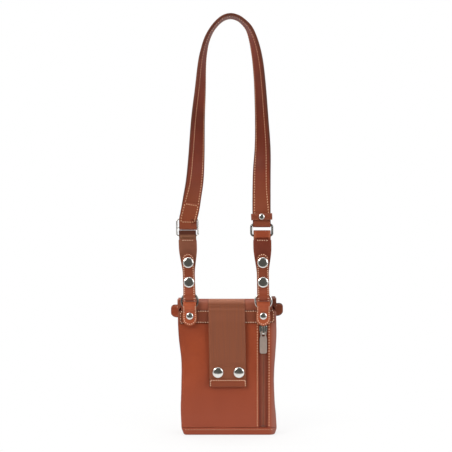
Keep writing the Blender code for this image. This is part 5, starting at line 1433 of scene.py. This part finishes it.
def strap_x(side, z):
    top = LEFT_STRAP_TOP_X if side < 0 else RIGHT_STRAP_TOP_X
    return between(side * TAB_X, top, (z - STRAP_FOLD_BOTTOM) / (STRAP_TOP - STRAP_FOLD_BOTTOM))


def loop_offset(z):
    wide = STRAP_LOOP_RADIUS + STRAP_LEATHER / 2
    return between(wide, STRAP_LAYER_OFFSET, fade(z, STRAP_LOOP_OPEN, STRAP_LOOP_CLOSED))


def strap_stations(side, path):
    """Stations of a strip over one ring, from (y, z, half width) points."""
    return in_plane([(strap_x(side, z), y, z, half) for y, z, half in path], STRAP_LEATHER)


def make_lower_strap(word, side):
    name = f"lower_strap_{word}"
    radius = STRAP_LOOP_RADIUS + STRAP_LEATHER / 2
    fold = arc((RING_Y, FOLD_MIDDLE_Z), radius, 180, 360, 28)
    path = [(y, z, STRAP_HALF_NARROW) for y, z in fold]
    parts = ((STRAP_LOOP_CLOSED, 10), (STRAP_TAPER_BOTTOM, 8), (STRAP_TAPER_TOP, 16))
    for z in in_steps(STRAP_LOOP_OPEN, *parts):
        share = fade(z, STRAP_TAPER_BOTTOM, STRAP_TAPER_TOP)
        path.append((RING_Y + loop_offset(z), z, between(STRAP_HALF_NARROW, STRAP_HALF_WIDE, share)))
    corner = STRAP_END_CORNER
    levels = steps_between(STRAP_TAPER_TOP, STRAP_TOP - corner, 4)[1:]
    path += [(STRAP_BACK_Y, z, STRAP_HALF_WIDE) for z in levels]
    for step in range(1, 9):
        angle = math.pi / 2 * step / 8
        half = STRAP_HALF_WIDE - corner * (1 - math.cos(angle))
        path.append((STRAP_BACK_Y, STRAP_TOP - corner * (1 - math.sin(angle)), half))
    stations = strap_stations(side, path)
    looks = [STRAP_BACK if side < 0 else LOWER_STRAP, TAIL, TAN_EDGE]
    made = sweep(f"{name}_skin", stations, looks, 9, TAIL_STITCH_INSET, ends=(False, True))
    settle(made, name, [name])
    strip = Strip(stations)
    seams = [strip.cross_seam(strip.length - 0.0022, 0.0045, face, 8) for face in (-1, 1)]
    seams += strip.both_seams(TAIL_STITCH_INSET, 0.0010, math.pi * radius / 2 - 0.0012, -1)
    sew(f"{name}_thread", seams, name)


def make_tail(word, side):
    start = FOLD_MIDDLE_Z
    path = []
    for z in in_steps(start, (STRAP_LOOP_OPEN, 5), (STRAP_LOOP_CLOSED, 10)):
        half = between(STRAP_HALF_NARROW, TAIL_HALF_WIDTH, fade(z, start, STRAP_LOOP_CLOSED))
        path.append((RING_Y - loop_offset(z), z, half))
    tip = TAIL_TOP - TAIL_HALF_WIDTH
    path += [(TAIL_Y, z, TAIL_HALF_WIDTH) for z in steps_between(STRAP_LOOP_CLOSED, tip, 20)[1:]]
    for step in range(1, 13):
        angle = math.pi / 2 * step / 12.25
        path.append((TAIL_Y, tip + TAIL_HALF_WIDTH * math.sin(angle), TAIL_HALF_WIDTH * math.cos(angle)))
    stations = strap_stations(side, path)
    looks = [TAIL, FLESH, TAN_EDGE]
    made = sweep(f"strap_tail_{word}_skin", stations, looks, 7, TAIL_STITCH_INSET, ends=(False, False))
    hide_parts(f"strap_tail_{word}")
    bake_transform(made)
    strip = Strip(stations)
    end = strip.runs[next(i for i, s in enumerate(stations) if s[0].z > tip - 0.0001)]
    seams = [strip.round_seam(0.0010, end, TAIL_HALF_WIDTH - TAIL_STITCH_INSET, face) for face in (-1, 1)]
    sew(f"strap_tail_{word}_thread", seams, f"tail_{word}", pitch=TAB_PITCH)
    bodies = (f"tail_{word}", f"lower_strap_{word}")
    for level, z in (("lower", LOWER_SNAP_Z), ("upper", UPPER_SNAP_Z)):
        face = STRAP_BACK_Y - STRAP_LEATHER / 2
        layers = (STRAP_LEATHER, STRAP_LEATHER)
        make_snap("strap_snap", f"{word}_{level}", strap_x(side, z), z, face, layers, bodies)


def make_bar_loop(word, side, gauge):
    radius = gauge / 2 + GAP + BAR_LOOP_LEATHER / 2
    closed = (GAP + BAR_LOOP_LEATHER) / 2
    arc_z = BAR_LOOP_TOP - BAR_LOOP_LEATHER / 2 - radius
    open_z, closed_z = BAR_Z - gauge / 2 - GAP, STRAP_TOP + GAP
    points = [(-closed, z) for z in steps_between(BAR_LOOP_BOTTOM, closed_z, 8)[:-1]]
    points += eased_line((-closed, closed_z), (-radius, open_z), [k / 8 for k in range(9)])
    points += [(-radius, z) for z in steps_between(open_z, arc_z, 3)[1:-1]]
    points += arc((0, arc_z), radius, 180, 90, 12)
    points += [(-offset, z) for offset, z in reversed(points[:-1])]
    path = [(strap_x(side, z), BAR_Y + offset, z, BAR_LOOP_HALF_WIDTH) for offset, z in points]
    # Painted shade: the left bar loop's leather is darkened across its top, under the strap's fold.
    look, edge = (STRAP_FOLD, RAW_EDGE) if side < 0 else (TAN, TAN_EDGE)
    made = sweep(f"bar_loop_{word}_skin", in_plane(path, BAR_LOOP_LEATHER), [look, FLESH, edge])
    settle(made, f"lower_strap_{word}", [f"bar_loop_{word}"])


# Shoulder strap


def frame_path(width, height, corner, gauge, middle):
    half = (width - gauge) / 2
    outline = rounded_loop(-half, half, 0, height - gauge, corner, 8, 4, 8)
    return [Vector((middle + x, BAR_Y, BAR_Z + z)) for x, z in outline]


def make_hardware():
    path = frame_path(RECT_RING_WIDTH, RECT_RING_HEIGHT, RECT_RING_CORNER, RECT_RING_WIRE, RIGHT_END_X)
    # Painted shade: the strap ring gets the shaded copy of the nickel.
    wire("strap_ring", path, RECT_RING_WIRE, SHADED_NICKEL, "shoulder_strap")
    middle = LEFT_END_X + SLIDE_OFFSET
    path = frame_path(SLIDE_WIDTH, SLIDE_HEIGHT, SLIDE_CORNER, SLIDE_WIRE, middle)
    wire("strap_slide", path, SLIDE_WIRE, NICKEL, "shoulder_strap")
    half = (SLIDE_WIDTH - SLIDE_WIRE) / 2
    profile = [(0, -half), (SLIDE_WIRE / 2, -half), (SLIDE_WIRE / 2, half), (0, half)]
    roll = Matrix(((0, 0, 1, 0), (0, 1, 0, 0), (-1, 0, 0, 0), (0, 0, 0, 1)))
    place = Matrix.Translation((middle, BAR_Y, SLIDE_MIDDLE_Z)) @ roll
    make_turned("strap_slide_middle_bar_metal", profile, 16, place, "shoulder_strap", sharp=50)


def strap_knots():
    """Places (x, y, z, turn) that the shoulder strap's arch goes through."""
    middle = (LEFT_END_X + RIGHT_END_X) / 2
    half_span = (RIGHT_END_X - LEFT_END_X) / 2
    left = SLIDE_WIRE / 2 + GAP + SHOULDER_THICKNESS / 2
    right = (GAP + SHOULDER_THICKNESS) / 2
    knots = []
    for across, up, turn in ARCH_SHARES:
        level = 1 - turn / 90
        y = BAR_Y - (left if level > 0 else right) * abs(level)
        knots.append((middle + across * half_span, y, between(SLIDE_TOP_BAR_Z, ARCH_TOP, up), turn))
    knots.append((RIGHT_END_X, BAR_Y - right, RECT_RING_TOP_BAR_Z + SHOULDER_CLOSE_HEIGHT, 180.0))
    return knots


def curve_through(knots, steps):
    """A smooth curve through the knots, with so many steps from each to the next."""
    found = []
    count = len(knots)
    for i in range(count - 1):
        around = knots[max(i - 1, 0)], knots[i], knots[i + 1], knots[min(i + 2, count - 1)]
        for step in range(steps):
            t = step / steps
            found.append(tuple(
                q + t * ((r - p) / 2 + t * (p - 2.5 * q + 2 * r - s / 2 + t * (1.5 * (q - r) + (s - p) / 2)))
                for p, q, r, s in zip(*around)
            ))
    found.append(knots[-1])
    return found


def arch_stations(steps):
    """Stations (place, across, out) of the arch, from the slide over the top to the ring."""
    line = curve_through(strap_knots(), steps)
    found = []
    for i, (x, y, z, turn) in enumerate(line):
        before, after = line[max(i - 1, 0)], line[min(i + 1, len(line) - 1)]
        along = Vector([after[k] - before[k] for k in range(3)]).normalized()
        if i in (0, len(line) - 1):
            along = Vector((0, 0, 1 if i == 0 else -1))
        angle = math.radians(turn)
        across = Vector((math.cos(angle), math.sin(angle), 0))
        across = (across - along * across.dot(along)).normalized()
        found.append((Vector((x, y, z)), across, across.cross(along)))
    return found


def end_fold(x, bar_z, gauge, across):
    """Stations of the strap's fold round a bar."""
    radius = gauge / 2 + GAP + SHOULDER_SKIVED / 2
    found = []
    for y, z in arc((0, 0), radius, 180, 360, 20):
        place, out = Vector((x, BAR_Y + y, bar_z + z)), Vector((0, -y, -z)).normalized()
        found.append((place, across, out, SHOULDER_END_HALF_WIDTH, SHOULDER_SKIVED))
    return found


def make_shoulder_strap():
    """One strip: the patch sewn over the left fold, the arch, the right fold and the tail behind it."""
    steps = 9
    arch = arch_stations(steps)
    full, thin = SHOULDER_THICKNESS, SHOULDER_SKIVED
    wide, narrow = SHOULDER_HALF_WIDTH, SHOULDER_END_HALF_WIDTH
    stack = full / 2 + GAP + thin / 2
    patch, tail, body = [], [], []
    for i, (place, across, out) in enumerate(arch):
        share = ease(min(i, len(arch) - 1 - i) / steps)
        body.append((place, across, out, between(narrow, wide, share), between(thin, full, share)))
        if place.x < 0 and place.z < PATCH_TOP:
            patch.append((place + out * stack, across, -out, narrow, thin))
        if place.x > 0 and place.z < STRAP_TAIL_TOP:
            tail.append((place - out * stack, across, -out, narrow, thin))
    left = end_fold(LEFT_END_X, SLIDE_MIDDLE_Z, SLIDE_WIRE, X_AXIS)
    right = end_fold(RIGHT_END_X, RECT_RING_TOP_BAR_Z, RECT_RING_WIRE, -X_AXIS)
    patch.reverse()
    stations = patch + left + body + right + tail[::-1]
    made = sweep("shoulder_strap_skin", stations, [STRAP, STRAP, STRAP_EDGE], 9, STRAP_STITCH_INSET)
    settle(made, "shoulder_strap", ["shoulder_strap"])
    strap, front, behind = Strip(body), Strip(patch + left[:1]), Strip(tail)
    inset = STRAP_STITCH_INSET
    seams = []
    for face in (-1, 1):
        for edge, bulge in ((-1, OUTER_SEAM_SWELL), (1, 0)):
            seams.append(strap.seam(edge, inset, 0.004, strap.length - 0.004, face, 0.002, bulge))
    foot = front.length - (PATCH_FOOT - SLIDE_MIDDLE_Z)
    seams += front.both_seams(inset, 0.0024, foot, -1)
    seams += [front.cross_seam(run, inset + 0.0012, -1) for run in (0.0024, foot)]
    seams += behind.both_seams(inset, 0.001, behind.length - 0.0016, -1)
    seams.append(behind.cross_seam(behind.length - 0.0020, inset, -1))
    sew("shoulder_strap_thread", seams, "shoulder_strap", THREAD_RUST, SHOULDER_PITCH)


def keeper_frame():
    """Where the keeper lies: across, along and out of the strap as X, Y and Z."""
    right = [station for station in arch_stations(3) if station[0].x > 0]
    place, across, out = min(right, key=lambda station: abs(station[0].z - KEEPER_Z))
    made = Matrix((-across, out.cross(-across), out)).transposed().to_4x4()
    made.translation = place
    return made


def make_keeper():
    front = SHOULDER_THICKNESS / 2 + KEEPER_GAP
    back = front + GAP + SHOULDER_SKIVED
    grow = KEEPER_LEATHER / 2
    half = SHOULDER_HALF_WIDTH + KEEPER_GAP + grow
    line = rounded_loop(-half, half, -back - grow, front + grow, KEEPER_CORNER, 8, 1, 12)
    place = keeper_frame()
    turn = place.to_3x3()
    along = (turn @ Y_AXIS).normalized()
    stations = []
    for i, (a, b) in enumerate(line):
        before, after = line[i - 1], line[(i + 1) % len(line)]
        run = (turn @ Vector((after[0] - before[0], 0, after[1] - before[1]))).normalized()
        out = run.cross(along).normalized()
        spot = place @ Vector((a, 0, b))
        if out.dot(spot - place.translation) < 0:
            out = -out
        stations.append((spot, along, out, KEEPER_HEIGHT / 2, KEEPER_LEATHER))
    made = sweep("strap_keeper_skin", stations, [TAIL, FLESH, TAN_EDGE], 5, closed=True)
    settle(made, "shoulder_strap", ["strap_keeper"])
    top = place @ Matrix.Translation((0, 0, front + KEEPER_LEATHER))
    length = front + back + 2 * KEEPER_LEATHER
    make_rivet("keeper_rivet", top, KEEPER_RIVET_RADIUS, length, "shoulder_strap")


# Belt loop


def belt_x(z):
    return BELT_LEAN * (WEBBING_TOP - z) / (WEBBING_TOP - WEBBING_BOTTOM)


def make_belt_anchor():
    """The fixed end of the webbing, sewn down over the rim."""
    radius = RIM_RADIUS + GAP + WEBBING / 2
    line = arc((RIM_CENTRE_Y, RIM_CENTRE_Z), radius, 180, 180 - ANCHOR_SWEEP, 28)
    stations = in_plane([(0, y, z, WEBBING_HALF_WIDTH) for y, z in line], WEBBING)
    made = sweep("belt_loop_anchor_weave", stations, [WEBBING_LOOK] * 3, 21, ends=(False, True))
    settle(made, "pouch", ["belt_loop_anchor"])
    anchor = Strip(stations)
    sew("belt_loop_anchor_thread", [anchor.cross_seam(anchor.length - 0.0025, 0.002, 1, 20)], "pouch")


def make_belt_webbing():
    """The hanging webbing: over the top strip, away from the pouch for the belt, and back at the snaps."""
    half = WEBBING / 2
    rim = RIM_CENTRE_Y - RIM_RADIUS - GAP - half
    strip = STRIP_FACE_Y - GAP - half
    belt = BACK_FACE_Y - BELT_GAP - half
    snap = BACK_FACE_Y - SNAP_SPACE - half
    points = [(rim, z) for z in steps_between(RIM_CENTRE_Z, STRIP_TOP + 0.003, 3)]
    points += eased_line((rim, STRIP_TOP + 0.003), (strip, STRIP_TOP + GAP), [k / 4 for k in range(1, 5)])
    for z in steps_between(STRIP_TOP - LEATHER, BELT_GAP_TOP, 12):
        points.append((between(strip, belt, fade(z, STRIP_TOP + GAP, BELT_GAP_TOP)), z))
    points += [(belt, z) for z in steps_between(BELT_GAP_TOP, BELT_GAP_BOTTOM, 12)[1:-1]]
    points += eased_line((belt, BELT_GAP_BOTTOM), (snap, BELT_SNAP_FLAT_TOP), [k / 8 for k in range(9)])
    points += [(snap, z) for z in steps_between(BELT_SNAP_FLAT_TOP, WEBBING_BOTTOM, 10)[1:]]
    hanging = in_plane([(belt_x(z), y, z, WEBBING_HALF_WIDTH) for y, z in points], WEBBING)
    made = sweep("belt_loop_webbing_weave", hanging, [WEBBING_LOOK] * 3, 21, ends=(False, True))
    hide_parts("belt_loop_webbing")
    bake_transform(made)


def make_belt_end_tab():
    """The leather folded under the webbing's cut end."""
    middle = BACK_FACE_Y - SNAP_SPACE - WEBBING / 2
    fold = WEBBING / 2 + GAP + END_PATCH_LEATHER / 2
    low = WEBBING_BOTTOM - GAP
    levels = steps_between(END_PATCH_TOP, low, 8)[:-1]
    path = [(middle - fold, z) for z in levels] + arc((middle, low), fold, 180, 360, 20)
    path += [(middle + fold, z) for z in reversed(levels)]
    stations = in_plane([(belt_x(z), y, z, END_PATCH_HALF_WIDTH) for y, z in path], END_PATCH_LEATHER)
    made = sweep("belt_loop_end_tab_skin", stations, [FLESH, STRAP, RAW_EDGE], 15)
    settle(made, "belt_loop", ["belt_loop_end_tab"])
    tab = Strip(stations)
    inset = END_PATCH_STITCH_INSET
    seams = [tab.cross_seam(run, inset, -1, 20) for run in (inset, tab.length - inset)]
    for side in (-1, 1):
        seams.append(tab.seam(side, inset, inset, END_PATCH_SEAM, -1))
        seams.append(tab.seam(side, inset, tab.length - END_PATCH_SEAM, tab.length - inset, -1))
    sew("belt_loop_end_tab_thread", seams, "belt_loop")


def make_belt_loop():
    make_belt_anchor()
    make_belt_webbing()
    make_belt_end_tab()
    for word, side in SIDES:
        x = BELT_SNAP_MIDDLE + side * BELT_SNAP_X
        layers, bodies = (WEBBING, LEATHER), ("belt_loop", "pouch")
        make_snap("belt_snap", word, x, BELT_SNAP_Z, BACK_FACE_Y, layers, bodies)


# The stage


def make_floor():
    """A pale floor that fades to white in the picture away from the bag."""
    mesh = bpy.data.meshes.new("floor")
    reach, front = 30, -0.36
    corners = [(-reach, front, 0), (reach, front, 0), (reach, reach, 0), (-reach, reach, 0)]
    mesh.from_pydata(corners, [], [(0, 1, 2, 3)])
    floor = add_object("floor", mesh)
    floor.location.z = -0.0004
    look = Look("floor", 0.9)
    look.use(base_color=(0.86, 0.85, 0.84, 1), specular_ior_level=0.1)
    rays = look.node("ShaderNodeLightPath", {}).outputs
    mirrored = look.maths("MAXIMUM", rays["Is Glossy Ray"], rays["Is Transmission Ray"])
    seen = look.maths("MAXIMUM", rays["Is Camera Ray"], mirrored)
    away = look.node("ShaderNodeVectorMath", {0: look.place()}, operation="LENGTH").outputs["Value"]
    share = look.maths("MULTIPLY", seen, look.span(away, 0.05, 0.26, 0.80, 1.0))
    white = look.node("ShaderNodeEmission", {"Color": WHITE, "Strength": 1.0})
    blend = look.node("ShaderNodeMixShader", {0: share, 1: look.shader.outputs[0], 2: white.outputs[0]})
    output = next(n for n in look.tree.nodes if n.type == "OUTPUT_MATERIAL")
    look.tree.links.new(blend.outputs[0], output.inputs["Surface"])
    mesh.materials.append(look.material)


def make_world():
    """White behind the bag, and grey with a dark wall in front of it for the metal to mirror."""
    world = bpy.data.worlds.new("studio")
    bpy.context.scene.world = world
    world.use_nodes = True
    tree = world.node_tree
    tree.nodes.clear()
    where = add_node(tree, "ShaderNodeTexCoord", {})
    parts = add_node(tree, "ShaderNodeSeparateXYZ", {"Vector": where.outputs["Generated"]})
    toward = add_node(tree, "ShaderNodeMath", {0: parts.outputs[1], 1: -1.0}, operation="MULTIPLY")
    reach = {"Value": toward.outputs[0], "From Min": 0.70, "From Max": 0.86}
    dark = add_node(tree, "ShaderNodeMapRange", reach, interpolation_type="SMOOTHSTEP")
    tones = {0: dark.outputs[0], 6: (0.90, 0.90, 0.90, 1), 7: (0.15, 0.148, 0.135, 1)}
    tone = add_node(tree, "ShaderNodeMix", tones, data_type="RGBA")
    lit = add_node(tree, "ShaderNodeBackground", {"Color": tone.outputs[2], "Strength": 0.60})
    plain = add_node(tree, "ShaderNodeBackground", {"Color": WHITE, "Strength": 1.0})
    seen = add_node(tree, "ShaderNodeLightPath", {}).outputs["Is Camera Ray"]
    mixed = add_node(tree, "ShaderNodeMixShader", {0: seen, 1: lit.outputs[0], 2: plain.outputs[0]})
    add_node(tree, "ShaderNodeOutputWorld", {"Surface": mixed.outputs[0]})


def make_light(name, place, target, size, power, colour=(1, 1, 1)):
    data = bpy.data.lights.new(name, "AREA")
    data.shape = "RECTANGLE"
    data.size, data.size_y = size
    data.energy = power
    data.color = colour
    made = add_object(name, data)
    made.location = place
    made.rotation_mode = "QUATERNION"
    made.rotation_quaternion = (Vector(target) - Vector(place)).to_track_quat("-Z", "Y")


def make_camera():
    data = bpy.data.cameras.new("camera")
    data.sensor_width = 36
    data.lens = 36 * 1.3 / 0.6283
    camera = add_object("camera", data)
    camera.location = (-0.0007, -1.32, 0.2911)
    camera.rotation_euler = (math.pi / 2, 0, 0)
    bpy.context.scene.camera = camera
    bpy.context.scene.view_settings.view_transform = "Standard"


def make_stage():
    make_floor()
    make_world()
    make_light("key", (-0.95, -1.15, 1.05), (0, 0, 0.22), (0.9, 0.9), 13.8, (1.0, 0.98, 0.96))
    make_light("fill", (1.15, -1.00, 0.65), (0, 0, 0.22), (0.9, 0.9), 7.3, (0.98, 0.99, 1.0))
    make_light("over", (0.0, 0.10, 1.55), (0, 0, 0.2), (1.0, 0.8), 11)
    make_camera()


def main():
    make_panels()
    for word, side in SIDES:
        make_gusset(f"gusset_{word}", side)
    make_base_tray()
    make_top_strip()
    for word, side in SIDES:
        make_zip_end_tab(f"zip_end_tab_{word}", side)
    make_lining()
    make_pocket_bag()
    make_zips()
    for (word, side), gauge in zip(SIDES, (SLIDE_WIRE, RECT_RING_WIRE)):
        make_tab(word, side)
        make_ring(word, side)
        make_lower_strap(word, side)
        make_tail(word, side)
        make_bar_loop(word, side, gauge)
    make_hardware()
    make_shoulder_strap()
    make_keeper()
    make_belt_loop()
    make_stage()


main()
